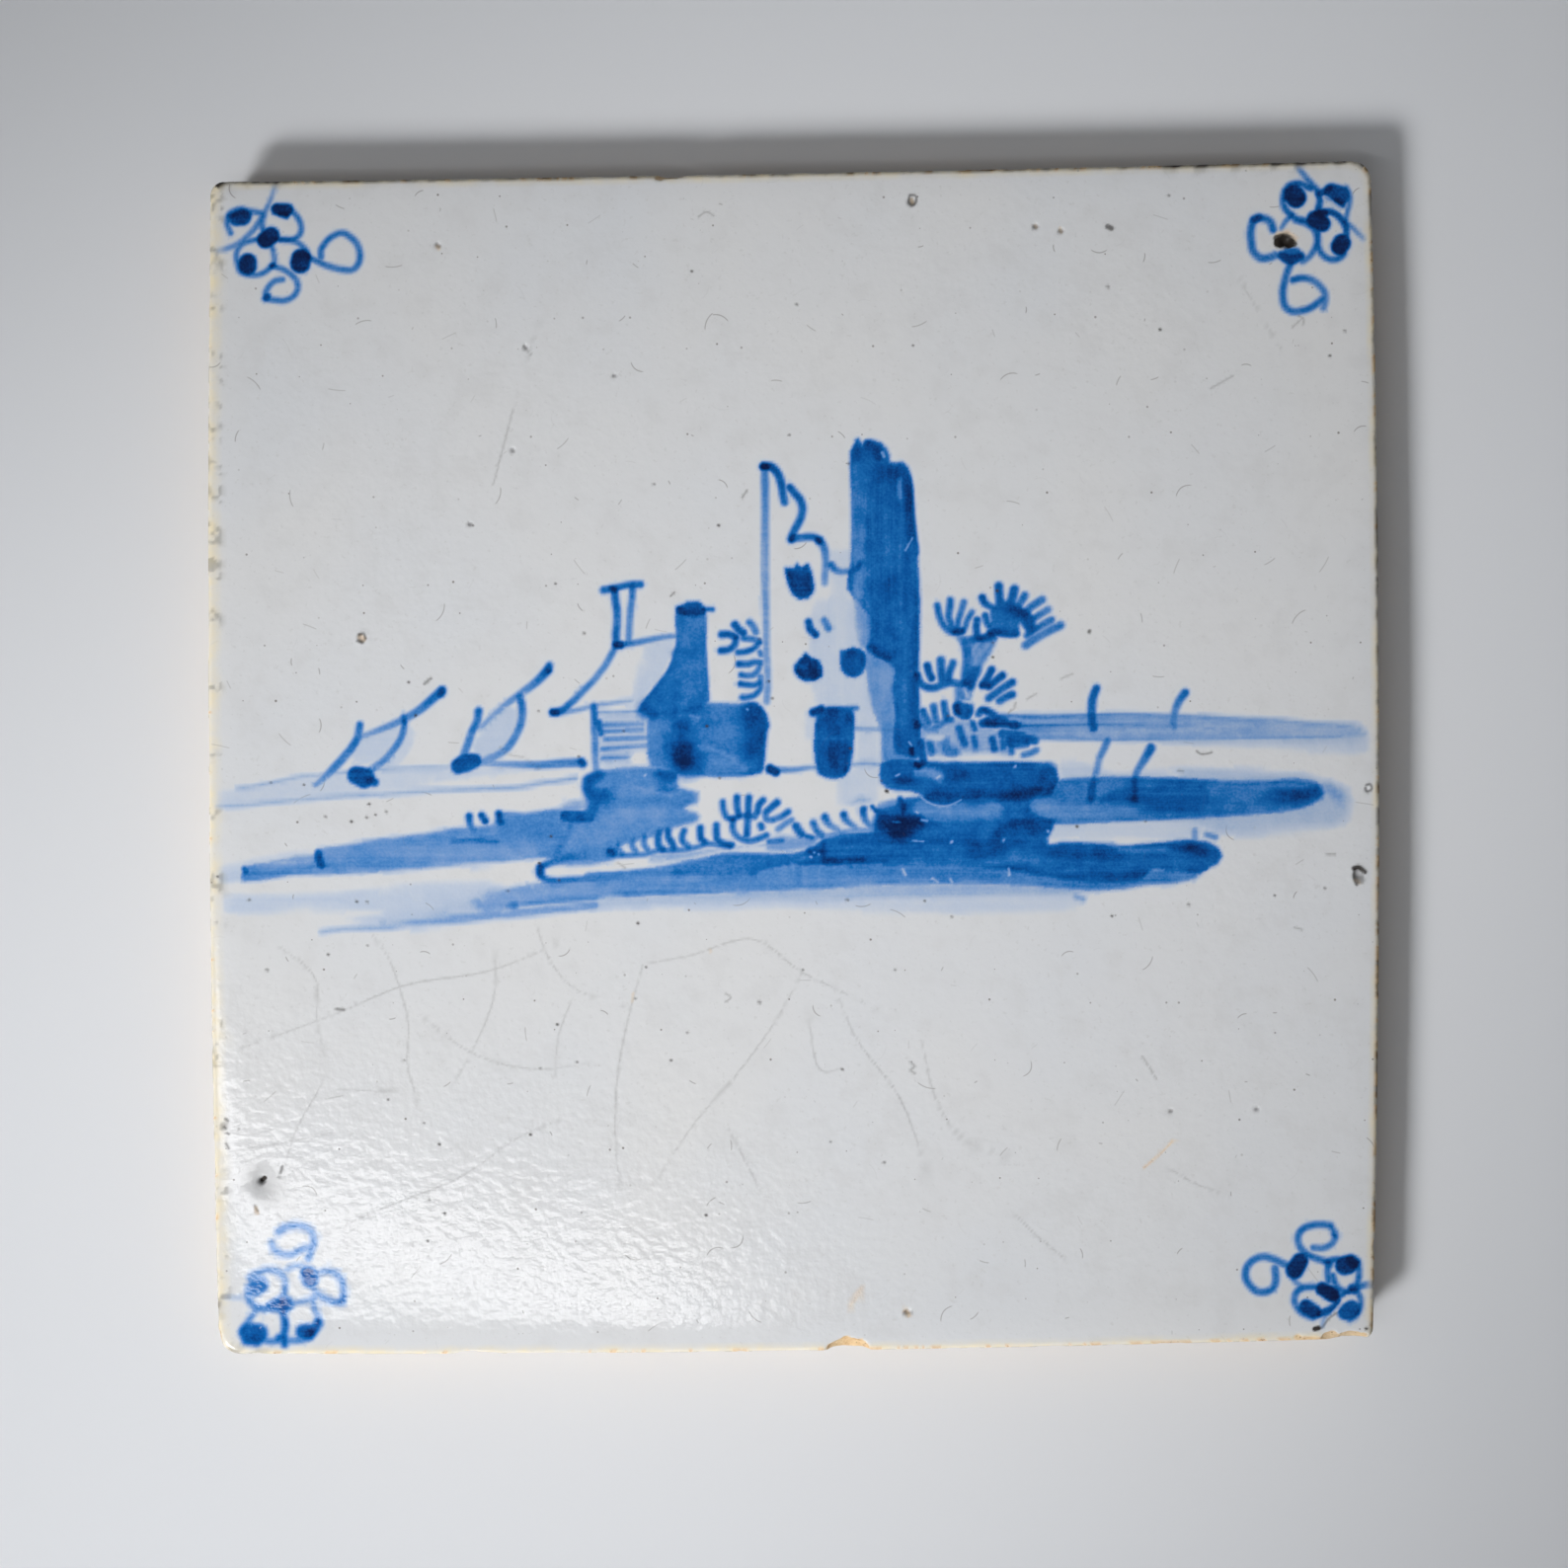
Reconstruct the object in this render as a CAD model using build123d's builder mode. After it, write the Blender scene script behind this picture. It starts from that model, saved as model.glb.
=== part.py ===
"""Hand-cut, tin-glazed earthenware wall tile.

One slab of buff clay, fired with its glaze as one piece. The face is square to about a
millimetre, with sides that bow a little and lean in towards a smaller back, so that
neighbours close up at the glaze. The face is slightly crowned and its arris is rounded.
Flakes are missing along the arris, and the glaze has nail marks and pits.

Frame: the back lies on z = 0, the painted face looks along +Z, +Y is up the picture and
the origin is under the middle of the tile. Millimetres throughout.
"""

import os
from math import atan, degrees, sqrt

from build123d import *

# The slab
tile_width = 130.0  # face, left to right, half way up
tile_height = 130.8  # face, foot to head of the picture, half way across
tile_thickness = 8.0  # back to the highest point of the face
undercut_depth = 0.7  # how far the back's outline lies inside the face's

# How far each corner lies from the true one, right and up, as the tile was cut
top_left_off = (0.25, -1.4)
top_right_off = (-0.7, 1.0)
bottom_right_off = (-0.45, 0.8)
bottom_left_off = (1.2, -0.95)

# How far the middle of each side swells out beyond the line between its corners
top_bow = -0.3
right_bow = 0.8
bottom_bow = 0.5
left_bow = 0.6

# Corner roundings, seen from above
top_left_radius = 1.5
top_right_radius = 2.2
bottom_right_radius = 1.0
bottom_left_radius = 2.4

# The face's relief
crown_rise = 0.35  # how much lower the middle of a side lies than the middle of the face
arris_radius = 0.9  # where the glaze rolls over from the face to the sides
back_edge_radius = 0.4

# Flakes off the arris: distance along the side from its first corner (a negative one is
# from its last corner), half the flake's width along the side, and its reach into the face
top_flakes = [(7.5, 2.6, 0.3), (51.4, 2.2, 0.55), (-12.0, 3.0, 0.3)]
right_flakes = [(10.5, 1.1, 0.35), (-10.0, 2.2, 0.35)]
bottom_flakes = [(2.7, 2.4, 1.0), (7.2, 1.4, 0.8), (58.6, 2.6, 1.5), (-29.0, 3.6, 0.5)]
left_flakes = [(20.0, 1.6, 0.4), (-37.0, 1.4, 0.35)]
flake_lift = 1.0  # height of a flake's striking centre above the arris

# Marks of the two nails that held the clay under the cutting board: how far in from the
# nearest side of the tile, and how far from its head or its foot
head_nail_in = 9.9
head_nail_down = 7.6
foot_nail_in = 5.7
foot_nail_up = 18.2
nail_radius = 0.95
nail_depth = 0.8

# Pits where the glaze blew or crawled: right and up from the middle of the face, radius
glaze_pits = [(13.3, 62.2, 0.55), (63.0, -13.0, 0.6), (-48.1, 13.4, 0.5), (12.9, -61.9, 0.45)]
pit_depth_share = 0.6  # a pit's depth as a share of its radius

half_width = tile_width / 2
half_height = tile_height / 2


def cut_corner(right, up, off):
    """A corner as it was cut: the true one, moved by its error."""
    return (right * half_width + off[0], up * half_height + off[1])


top_left = cut_corner(-1, 1, top_left_off)
top_right = cut_corner(1, 1, top_right_off)
bottom_right = cut_corner(1, -1, bottom_right_off)
bottom_left = cut_corner(-1, -1, bottom_left_off)

# The crown is a patch of a large ball, which falls by crown_rise over half the tile's width
crown_radius = (half_width**2 + crown_rise**2) / (2 * crown_rise)
undercut_angle = degrees(atan(undercut_depth / tile_thickness))


def face_height(x, y):
    """Height of the crowned face over a point of the tile."""
    return tile_thickness - crown_radius + sqrt(crown_radius**2 - x**2 - y**2)


def ball_through(half_chord, depth):
    """Radius of the ball that a scoop of that half width and depth is cut by."""
    return (half_chord**2 + depth**2) / (2 * depth)


# The four sides run clockwise, seen from above
with BuildLine() as outline:
    top_side = SagittaArc(top_left, top_right, top_bow)
    right_side = SagittaArc(top_right, bottom_right, right_bow)
    bottom_side = SagittaArc(bottom_right, bottom_left, bottom_bow)
    left_side = SagittaArc(bottom_left, top_left, left_bow)


def flake_ball(side, distance, half_width_along, reach):
    """Centre and radius of the ball that takes a flake off a side's arris.

    In plan its circle at the face cuts the side over the flake's width and comes in by
    its reach. The centre lies outside the tile and above the face, so the scar runs out
    down the side.
    """
    along = distance if distance >= 0 else side.length + distance
    edge_point = side.position_at(along, position_mode=PositionMode.LENGTH)
    tangent = side.tangent_at(along, position_mode=PositionMode.LENGTH)
    outward = Vector(-tangent.Y, tangent.X, 0)
    plan_radius = ball_through(half_width_along, reach)
    centre = edge_point + outward * (plan_radius - reach)
    centre += Vector(0, 0, face_height(edge_point.X, edge_point.Y) + flake_lift)
    return centre, sqrt(plan_radius**2 + flake_lift**2)


with BuildPart() as tile:
    # The slab, cut from its face down with sides that lean in
    with BuildSketch(Plane.XY.offset(tile_thickness)) as face:
        add(outline.line)
        make_face()
        for corner, radius in (
            (top_left, top_left_radius),
            (top_right, top_right_radius),
            (bottom_right, bottom_right_radius),
            (bottom_left, bottom_left_radius),
        ):
            nearest = face.vertices().sort_by_distance((*corner, tile_thickness))[0]
            fillet(nearest, radius)
    extrude(amount=-tile_thickness, taper=undercut_angle)

    # The crown. The ball lies with its poles towards head and foot, clear of the face
    with Locations((0, 0, tile_thickness - crown_radius)):
        Sphere(crown_radius, rotation=(90, 0, 0), mode=Mode.INTERSECT)
    fillet(tile.faces().filter_by(GeomType.SPHERE).edges(), arris_radius)
    fillet(tile.faces().sort_by(Axis.Z)[0].edges(), back_edge_radius)

    # Flakes off the arris
    for side, flakes in (
        (top_side, top_flakes),
        (right_side, right_flakes),
        (bottom_side, bottom_flakes),
        (left_side, left_flakes),
    ):
        for distance, half_flake, reach in flakes:
            centre, radius = flake_ball(side, distance, half_flake, reach)
            with Locations(centre):
                Sphere(radius, mode=Mode.SUBTRACT)

    # Nail marks and glaze pits, each a shallow cup of a ball
    head_nail = (half_width - head_nail_in, half_height - head_nail_down)
    foot_nail = (foot_nail_in - half_width, foot_nail_up - half_height)
    cups = [(*nail, nail_radius, nail_depth) for nail in (head_nail, foot_nail)]
    cups += [(x, y, radius, radius * pit_depth_share) for x, y, radius in glaze_pits]
    for x, y, radius, depth in cups:
        ball = ball_through(radius, depth)
        with Locations((x, y, face_height(x, y) - depth + ball)):
            Sphere(ball, mode=Mode.SUBTRACT)

# The origin goes under the middle of the finished tile
finished = tile.part.bounding_box()
tile.part.move(Location((-finished.center().X, -finished.center().Y, -finished.min.Z)))

os.makedirs("parts", exist_ok=True)
tile.part.label = "tile"
export_step(tile.part, "parts/tile.step")
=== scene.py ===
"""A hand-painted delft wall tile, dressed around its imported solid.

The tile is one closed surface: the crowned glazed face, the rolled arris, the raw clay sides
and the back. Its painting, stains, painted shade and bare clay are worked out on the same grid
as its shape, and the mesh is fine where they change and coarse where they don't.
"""

import math

import bpy
import numpy as np
from mathutils import Matrix


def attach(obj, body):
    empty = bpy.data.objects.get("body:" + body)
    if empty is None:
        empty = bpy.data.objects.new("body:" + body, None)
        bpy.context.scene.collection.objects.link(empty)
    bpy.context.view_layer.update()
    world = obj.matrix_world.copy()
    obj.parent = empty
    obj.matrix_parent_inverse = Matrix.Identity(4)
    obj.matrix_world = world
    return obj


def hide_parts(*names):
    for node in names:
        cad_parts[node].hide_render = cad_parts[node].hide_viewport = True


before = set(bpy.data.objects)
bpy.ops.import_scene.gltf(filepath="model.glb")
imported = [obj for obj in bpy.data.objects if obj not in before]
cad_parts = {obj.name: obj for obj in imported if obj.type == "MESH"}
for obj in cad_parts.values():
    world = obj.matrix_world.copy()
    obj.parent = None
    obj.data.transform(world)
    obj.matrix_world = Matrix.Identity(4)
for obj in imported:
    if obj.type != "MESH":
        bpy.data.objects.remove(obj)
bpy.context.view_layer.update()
MM = 0.001

# Camera: straight above the tile with no roll, as the photograph was taken. The middle of
# the picture falls a little left of the tile's middle and below it. The sheet of pale paper
# under the tile takes its shadow.
outline_middle = (0.13, -0.014)  # middle of the tile's box, seen from the picture's zero
picture_middle = (-0.95, -2.97)  # what the lens points at, in the same millimetres
picture_width = 173.4
eye_height = 350.0
slab_thickness = 7.98

eye = bpy.data.cameras.new("eye")
eye.sensor_width = 36.0
eye.angle = 2 * math.atan(picture_width / 2 / eye_height)
eye.clip_start, eye.clip_end = 0.01, 20.0
camera = bpy.data.objects.new("eye", eye)
camera.location = (
    (picture_middle[0] - outline_middle[0]) * MM,
    (picture_middle[1] - outline_middle[1]) * MM,
    (eye_height + slab_thickness) * MM,
)
bpy.context.scene.collection.objects.link(camera)
bpy.context.scene.camera = camera


def linear(*srgb):
    """A colour as a screen shows it, 0 to 255 a channel, as the light values that shaders take."""
    c = np.asarray(srgb, float) / 255
    return tuple(np.where(c <= 0.04045, c / 12.92, ((c + 0.055) / 1.055) ** 2.4)) + (1.0,)


def new_material(name):
    """An empty node material, with its output and its principled shader joined up."""
    made = bpy.data.materials.new(name)
    made.use_nodes = True
    made.node_tree.nodes.clear()
    out = made.node_tree.nodes.new("ShaderNodeOutputMaterial")
    shader = made.node_tree.nodes.new("ShaderNodeBsdfPrincipled")
    made.node_tree.links.new(shader.outputs[0], out.inputs["Surface"])
    return made, made.node_tree, shader


def mesh_object(name, points, faces, material):
    """A smooth-shaded mesh object at the origin, made from whole arrays of points and triangles."""
    mesh = bpy.data.meshes.new(name)
    mesh.vertices.add(len(points))
    mesh.vertices.foreach_set("co", np.asarray(points, np.float32).ravel())
    mesh.loops.add(faces.size)
    mesh.loops.foreach_set("vertex_index", np.asarray(faces, np.int32).ravel())
    mesh.polygons.add(len(faces))
    starts = np.arange(0, faces.size, faces.shape[1], dtype=np.int32)
    mesh.polygons.foreach_set("loop_start", starts)
    mesh.update(calc_edges=True)
    mesh.validate()
    mesh.shade_smooth()
    mesh.materials.append(material)
    made = bpy.data.objects.new(name, mesh)
    bpy.context.scene.collection.objects.link(made)
    return made


paper_reach = 3.0  # metres from the middle to each side
paper_look, nodes, shader = new_material("studio_paper")
shader.inputs["Base Color"].default_value = linear(214, 216, 220)
shader.inputs["Roughness"].default_value = 0.9
paper = mesh_object(
    "studio_floor",
    [(x * paper_reach, y * paper_reach, 0) for x, y in ((-1, -1), (1, -1), (1, 1), (-1, 1))],
    np.array([[0, 1, 2, 3]]),
    paper_look,
)

# Light: plain soft studio light. A soft lamp with a narrow beam stands to the lower left, so
# the shadow falls along the head and the right side, and the light falls off towards them. A
# long one high up, out beyond the foot on the left, is the pale streak that the glaze mirrors.
room_level, room_colour = 0.2, (0.96, 0.98, 1.0, 1.0)
room = bpy.data.worlds.new("studio_room")
room.use_nodes = True
room.node_tree.nodes["Background"].inputs["Color"].default_value = room_colour
room.node_tree.nodes["Background"].inputs["Strength"].default_value = room_level
bpy.context.scene.world = room


def soft_lamp(name, place, aim, size, power, turn=0.0):
    """A rectangular area lamp at one point that shines at another, turned round its beam."""
    lamp = bpy.data.lights.new(name, "AREA")
    lamp.shape = "RECTANGLE"
    lamp.size, lamp.size_y = size
    lamp.energy = power
    made = bpy.data.objects.new(name, lamp)
    made.location = place
    down = (np.asarray(aim, float) - place) / np.linalg.norm(np.asarray(aim, float) - place)
    side = np.cross((0.0, 1.0, 0.0), -down)
    side /= np.linalg.norm(side)
    up = np.cross(-down, side)
    side, up = (
        math.cos(turn) * side + math.sin(turn) * up,
        math.cos(turn) * up - math.sin(turn) * side,
    )
    turned = np.eye(4)
    turned[:3] = np.stack([side, up, -down, place], axis=1)
    made.matrix_world = Matrix(turned.tolist())
    bpy.context.scene.collection.objects.link(made)
    return made


beam_spread = math.radians(24)
window_lamp = soft_lamp(
    "window_lamp",
    place=(-0.3, -0.34, 0.36), aim=(-0.031, -0.039, 0), size=(0.22, 0.22), power=0.172,
)
window_lamp.data.spread = beam_spread
soft_lamp(
    "sheen_lamp",
    place=(-0.21, -0.133, 0.6), aim=(-0.21, -0.133, 0), size=(0.4, 0.036), power=0.56,
    turn=-0.25,
)

# The tile: a slab of buff clay, cut by hand against a board, dipped in white tin glaze,
# painted in cobalt and fired once more, so clay, glaze and paint are one piece. Its outline is
# the solid's own, with a tighter arris and a soft shoulder inside it. All of it is one surface,
# unrolled on to a square: the face in the middle, then the arris, the sides and the edge of
# the back in the outermost rings.
half_face = 65.0
half_tall = 65.4
corners = [
    (-half_face + 0.25, half_tall - 1.4),
    (half_face - 0.7, half_tall + 1.0),
    (half_face - 0.45, -half_tall + 0.8),
    (-half_face + 1.2, -half_tall - 0.95),
]
corner_roundings = [1.5, 2.2, 1.0, 2.4]
side_bows = [-0.3, 0.8, 0.5, 0.6]
crown_rise = 0.35
shoulder_width, shoulder_drop = 3.6, 0.2
arris_round = 0.6
undercut, solid_thickness = 0.7, 8.0
undercut_lean = math.atan(undercut / solid_thickness)
back_round = 0.4
inside_solid = 0.145  # how far the worked surface stays inside the solid's outline

steps = 1024
side_reach = 7.9  # how much of the square's rings the arris, a side and the back's edge take
flat_half = half_face - arris_round
square_half = flat_half + side_reach
cell = 2 * square_half / steps
across, up = np.meshgrid(*[np.linspace(-square_half, square_half, steps + 1)] * 2)
ring = np.maximum(np.abs(across), np.abs(up))


def along_side(start, end, start_rounding, end_rounding, bow, share):
    """A point of one side of the outline at a share of its length.

    It lies on the chord, pushed outwards by a parabola of that bow. Near a corner the point
    moves on to the corner's arc, of which each side carries half.
    """
    start, end = np.array(start), np.array(end)
    length = np.hypot(*(end - start))
    way = (end - start) / length
    out = np.array((-way[1], way[0]))
    run, inset = share * length, -bow * 4 * share * (1 - share)
    for rounding, flip in ((start_rounding, False), (end_rounding, True)):
        from_corner = length - run if flip else run
        turn = np.clip(1 - from_corner / rounding, 0, 1) * math.pi / 4
        near = from_corner < rounding
        inset = inset + np.where(near, rounding * (1 - np.cos(turn)), 0)
        eased = rounding * (1 - np.sin(turn))
        from_corner = np.where(near, eased, from_corner)
        run = length - from_corner if flip else from_corner
    return [start[i] + way[i] * run - out[i] * inset for i in (0, 1)]


def outline_at(across, up):
    """The outline's point that lies under each place of the square, by its side and its share."""
    ring = np.maximum(np.maximum(np.abs(across), np.abs(up)), 1e-6)
    x, y = np.zeros_like(ring), np.zeros_like(ring)
    on_side = [
        (up >= np.abs(across), across),
        (across > np.abs(up), -up),
        (-up >= np.abs(across), -across),
        (-across > np.abs(up), up),
    ]
    for k, (here, going) in enumerate(on_side):
        share = (going[here] / ring[here] + 1) / 2
        after = (k + 1) % 4
        x[here], y[here] = along_side(
            corners[k], corners[after], corner_roundings[k], corner_roundings[after],
            side_bows[k], share,
        )
    return x, y


def mottle(x, y, size, seed):
    """Smooth noise from 0 to 1: a coarse lattice of random heights, eased between its points."""
    lattice = np.random.default_rng(seed).random((257, 257))
    u, v = np.asarray(x) / size + 1000.5, np.asarray(y) / size + 1000.5
    i, j = np.floor(u).astype(int), np.floor(v).astype(int)
    u, v = u - i, v - j
    u, v = u * u * (3 - 2 * u), v * v * (3 - 2 * v)
    i0, i1, j0, j1 = i % 257, (i + 1) % 257, j % 257, (j + 1) % 257
    low = lattice[j0, i0] * (1 - u) + lattice[j0, i1] * u
    high = lattice[j1, i0] * (1 - u) + lattice[j1, i1] * u
    return low * (1 - v) + high * v


def ease(value, low, high):
    """0 below low, 1 above high, and a smooth step between them."""
    t = np.clip((value - low) / (high - low), 0, 1)
    return t * t * (3 - 2 * t)


# The profile is followed outwards from the middle: the crown and its soft shoulder, a round
# arris, the side leaning in, and the rounded edge of the back.
edge_x, edge_y = outline_at(across, up)
past_face = ring - flat_half
past_flat = np.clip(past_face, 0, None)
arris_run = arris_round * (math.pi / 2 + undercut_lean)
arris_turn = np.clip(past_flat, 0, arris_run) / arris_round
back_run = 0.7
side_share = np.clip((past_flat - arris_run) / (side_reach - arris_run - back_run), 0, 1)
back_turn = np.clip((past_flat - (side_reach - back_run)) / back_run, 0, 1) * math.pi / 2

out_to = np.minimum(ring, flat_half) + arris_round * np.sin(arris_turn)
x = edge_x * out_to / half_face
y = edge_y * out_to / half_face
from_edge = half_face - np.minimum(ring, flat_half)
height = slab_thickness - crown_rise * (x**2 + y**2) / half_face**2
height -= shoulder_drop * np.clip(1 - from_edge / shoulder_width, 0, 1) ** 2
height -= arris_round * (1 - np.cos(arris_turn))
side_drop = (height - back_round) * side_share
inset = side_drop * math.tan(undercut_lean) + back_round * (1 - np.cos(back_turn))
inset += inside_solid * np.minimum(ring / flat_half, 1)
height = height - side_drop - back_round * np.sin(back_turn)
x -= edge_x / half_face * inset
y -= edge_y / half_face * inset
brush_scale, brush_rise = 1.009, 0.12  # the painting's own millimetres and zero differ a little
face_x, face_y = brush_scale * x, brush_scale * y + brush_rise
on_face = ring <= flat_half + arris_round

# The painting: cobalt on the raw glaze, sunk into it in the fire, so its edges are soft. Each
# stroke is a tone and a half width in millimetres, each one value or several spread along the
# stroke, and the points that the brush went through, right and up from the picture's zero.
# The corner at the head on the left: a spider of dots and loops with a curl either way.
head_left = [
    (1.1, (0.66, 0.7), (-57.6, 61.35), (-56.5, 61.3)),
    (1.05, 0.38, (-57.2, 60.9), (-56.6, 60.7)),
    (1.12, 0.95, (-58.9, 57.95), (-58.3, 58.4)),
    (1.08, 1, (-60.9, 55), (-60.9, 55.4)),
    (1.15, 1.1, (-55, 55.3), (-54.9, 55.8)),
    (0.92, (0.8, 0.95), (-62.2, 60.3), (-61.5, 60.5)),
    (0.8, (0.35, 0.5), (-62.9, 60.6), (-62, 60.9), (-60.9, 60.8)),
    (0.62, 0.3, (-62.8, 58.7), (-63.2, 59.8), (-63, 60.8), (-62, 61.35), (-60.6, 61.15),
     (-59.3, 60.9)),
    ((0.35, 0.6), (0.2, 0.38), (-57.9, 63.9), (-58.4, 62.3), (-59, 60.9), (-59.3, 59.5),
     (-58.9, 58.6)),
    ((0.35, 0.5, 0.6), 0.32, (-64.8, 56.6), (-63.2, 57), (-62, 57.5), (-60.9, 58.4), (-59.7, 59.8),
     (-59.2, 60.7)),
    (0.65, 0.3, (-56.1, 61.3), (-55.3, 60.4), (-54.9, 59.3), (-55.1, 58.5), (-55.8, 58),
     (-57.3, 57.95)),
    (0.65, 0.3, (-57.4, 58), (-56.1, 57.9), (-55, 57.4), (-54.3, 56.6), (-54, 55.9)),
    (0.6, 0.3, (-59.7, 58), (-60.7, 57.8), (-61.7, 57.3), (-62.15, 56.4), (-62.05, 55.3),
     (-61.7, 54.4), (-60.8, 54.05), (-59.5, 54.1), (-58.5, 54.7), (-58.2, 55.1)),
    (0.55, 0.28, (-58.2, 57.2), (-58, 56.4), (-57.9, 55.6), (-58.1, 55)),
    (0.85, 0.33, (-58.2, 54.95), (-58, 55.05)),
    (0.62, 0.31, (-58.1, 55), (-57.1, 54.7), (-56.1, 54.1), (-55.4, 53.3), (-55.3, 52.4),
     (-55.8, 51.6), (-56.7, 51.15), (-57.8, 51.2), (-58.7, 51.4), (-58.9, 51.9), (-58.6, 52.6),
     (-57.9, 53.3), (-57, 53.5)),
    (0.85, 0.4, (-58.85, 51.4), (-58.7, 51.6)),
    (0.62, 0.34, (-54, 55.9), (-53.3, 55.6), (-51.9, 55), (-50.3, 54.6), (-49.1, 54.6),
     (-48.45, 55.4), (-48.35, 56.5), (-48.7, 57.5), (-49.5, 58.3), (-50.2, 58.7), (-51.3, 58.4),
     (-52.2, 57.6), (-52.7, 56.7), (-52.7, 56)),
]
# The corner at the head on the right, with the nail mark through one of its dots.
head_right = [
    (1.1, 1.15, (56, 63), (56.25, 62.7)),
    (1.1, (0.95, 0.9), (58.4, 60.2), (59.2, 59.75)),
    (1, 0.5, (58.7, 60.8), (59.4, 60.9)),
    (1.12, 0.98, (61.15, 57.2), (61.4, 57.6)),
    (0.95, (0.45, 0.65, 0.45), (54.6, 56.2), (55.6, 55.75), (56.8, 56.1)),
    (0.75, 0.65, (55.4, 56.4), (56.2, 56.4)),
    (0.9, (1.05, 1.1), (60.3, 63.2), (61.2, 62.9)),
    (0.85, 0.5, (60.9, 62.2), (61.3, 61.9)),
    ((0.5, 0.6, 0.75), (0.28, 0.4), (56.4, 66.4), (57.1, 65.3), (58, 64.2), (58.7, 63.3),
     (58.95, 62.4), (58.8, 61.4)),
    (0.85, 0.42, (58.8, 63.1), (59.4, 63.3), (60, 63.7)),
    (0.72, 0.35, (57.9, 63.7), (56.5, 64.25), (55.4, 63.9), (54.9, 62.9), (54.9, 61.8),
     (55.5, 60.9), (56.3, 60.3), (57.4, 60.05)),
    ((0.5, 0.7), (0.22, 0.3), (54.6, 59.2), (55.1, 60), (55.8, 60.7)),
    (0.55, 0.28, (61.9, 63.8), (62.3, 62.8), (62.2, 61.8), (61.95, 60.9), (61.8, 60)),
    (0.82, 0.36, (59, 61), (60, 61.1), (60.9, 60.7), (61.5, 60), (61.9, 59.2), (61.9, 58.4)),
    ((0.65, 0.3), 0.27, (61.8, 59.9), (62.6, 59.3), (63.4, 58.5), (63.9, 58.1)),
    (0.7, 0.34, (58.7, 59.2), (58.7, 58.1), (58.8, 57), (59.3, 56.2), (60.2, 55.75), (61.1, 55.9),
     (61.6, 56.3)),
    (0.6, 0.32, (56.2, 60.1), (57.3, 59.75), (58.3, 59), (58.6, 58.1), (58.4, 57.1), (57.8, 56.1),
     (57, 55.5)),
    (0.65, 0.42, (53.9, 56.2), (53.3, 55.95), (52.3, 55.9), (51.5, 56.6), (51.25, 57.7),
     (51.2, 58.9), (51.45, 59.9), (51.9, 60.35), (52.7, 60.3), (53.4, 59.9), (53.7, 59.1)),
    (0.9, 0.45, (51.55, 60.15), (52.1, 60.4)),
    (0.65, 0.38, (55.6, 55.2), (55.3, 54.4), (55, 53.4), (54.8, 52.4), (54.8, 51.3), (55.1, 50.4),
     (55.8, 49.95), (56.9, 50), (58, 50.4), (58.7, 50.9), (59.2, 51.3)),
    ((0.75, 0.6, 0.5), 0.36, (55.9, 53.45), (56.8, 53.65), (57.9, 53.5), (58.9, 52.8), (59.5, 51.9),
     (59.5, 50.9), (59.3, 50.3)),
]
# The corner at the foot on the left, painted thinner.
foot_left = [
    (0.88, 0.88, (-54.1, -57.7), (-53.9, -58.2)),
    (0.62, (0.9, 1), (-60.2, -59.3), (-59.6, -58.8)),
    (0.72, (0.5, 0.8, 0.85), (-58.4, -61.3), (-57.3, -61.1), (-56.6, -61)),
    (0.6, (0.35, 0.5), (-57.1, -60.3), (-56.9, -61.8)),
    (0.78, 1.1, (-60.8, -64.2), (-59.8, -64.3)),
    (0.7, 0.6, (-61, -65.1), (-60, -65.3)),
    (0.85, 0.8, (-54.7, -64.1), (-54.2, -64)),
    (0.85, (0.6, 0.5, 0.4), (-54.1, -64.5), (-53.3, -63.6), (-53, -62.9)),
    ((0.6, 0.5, 0.56), 0.36, (-57.4, -52.9), (-56.6, -52.4), (-55.5, -52.2), (-54.4, -52.4),
     (-53.7, -53), (-53.5, -54), (-53.8, -55), (-54.1, -55.9)),
    (0.5, 0.34, (-58.2, -54.2), (-57.8, -55), (-56.9, -55.4), (-55.9, -55.4), (-54.8, -54.9),
     (-54.2, -54.7)),
    ((0.46, 0.5, 0.66), 0.35, (-53.1, -57.6), (-52.1, -57.3), (-51.2, -57.5), (-50.5, -58.2),
     (-50.2, -59.2), (-50.2, -60.2), (-50.4, -60.7)),
    ((0.42, 0.58), 0.33, (-53.6, -59.2), (-53, -59.8), (-52.2, -60.4), (-51.2, -60.75),
     (-50.3, -60.8)),
    (0.46, 0.35, (-60.7, -58), (-59.8, -57.5), (-58.6, -57.2), (-57.5, -57.4), (-56.8, -58.2),
     (-56.7, -59.2), (-56.9, -60.2)),
    (0.38, 0.32, (-56.7, -57.3), (-55.9, -56.8), (-55.1, -56.7), (-54.3, -56.9)),
    (0.52, 0.42, (-60.9, -60), (-60.6, -60.7), (-60, -61.3), (-59, -61.6)),
    (0.2, 0.27, (-63.7, -60.2), (-62.4, -60.3), (-61, -60.5)),
    (0.5, 0.35, (-59.9, -61.5), (-60.4, -62.3), (-61, -63.2), (-61.6, -64.2)),
    (0.4, 0.3, (-56.2, -61.2), (-55.2, -60.8), (-54.3, -60.6), (-53.6, -60.4)),
    ((0.4, 0.6), 0.34, (-53.5, -60.2), (-53.5, -61.3), (-53.1, -62.3), (-52.8, -63.3)),
    (0.8, 0.38, (-56.9, -62), (-56.7, -63.2), (-56.8, -64.4), (-56.8, -65.6)),
    (0.55, 0.36, (-59.6, -65), (-58.2, -65.2), (-57, -65.1), (-55.7, -65.1), (-54.6, -65)),
    (0.75, 0.42, (-57.4, -64.8), (-57.1, -64.7)),
]
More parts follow.
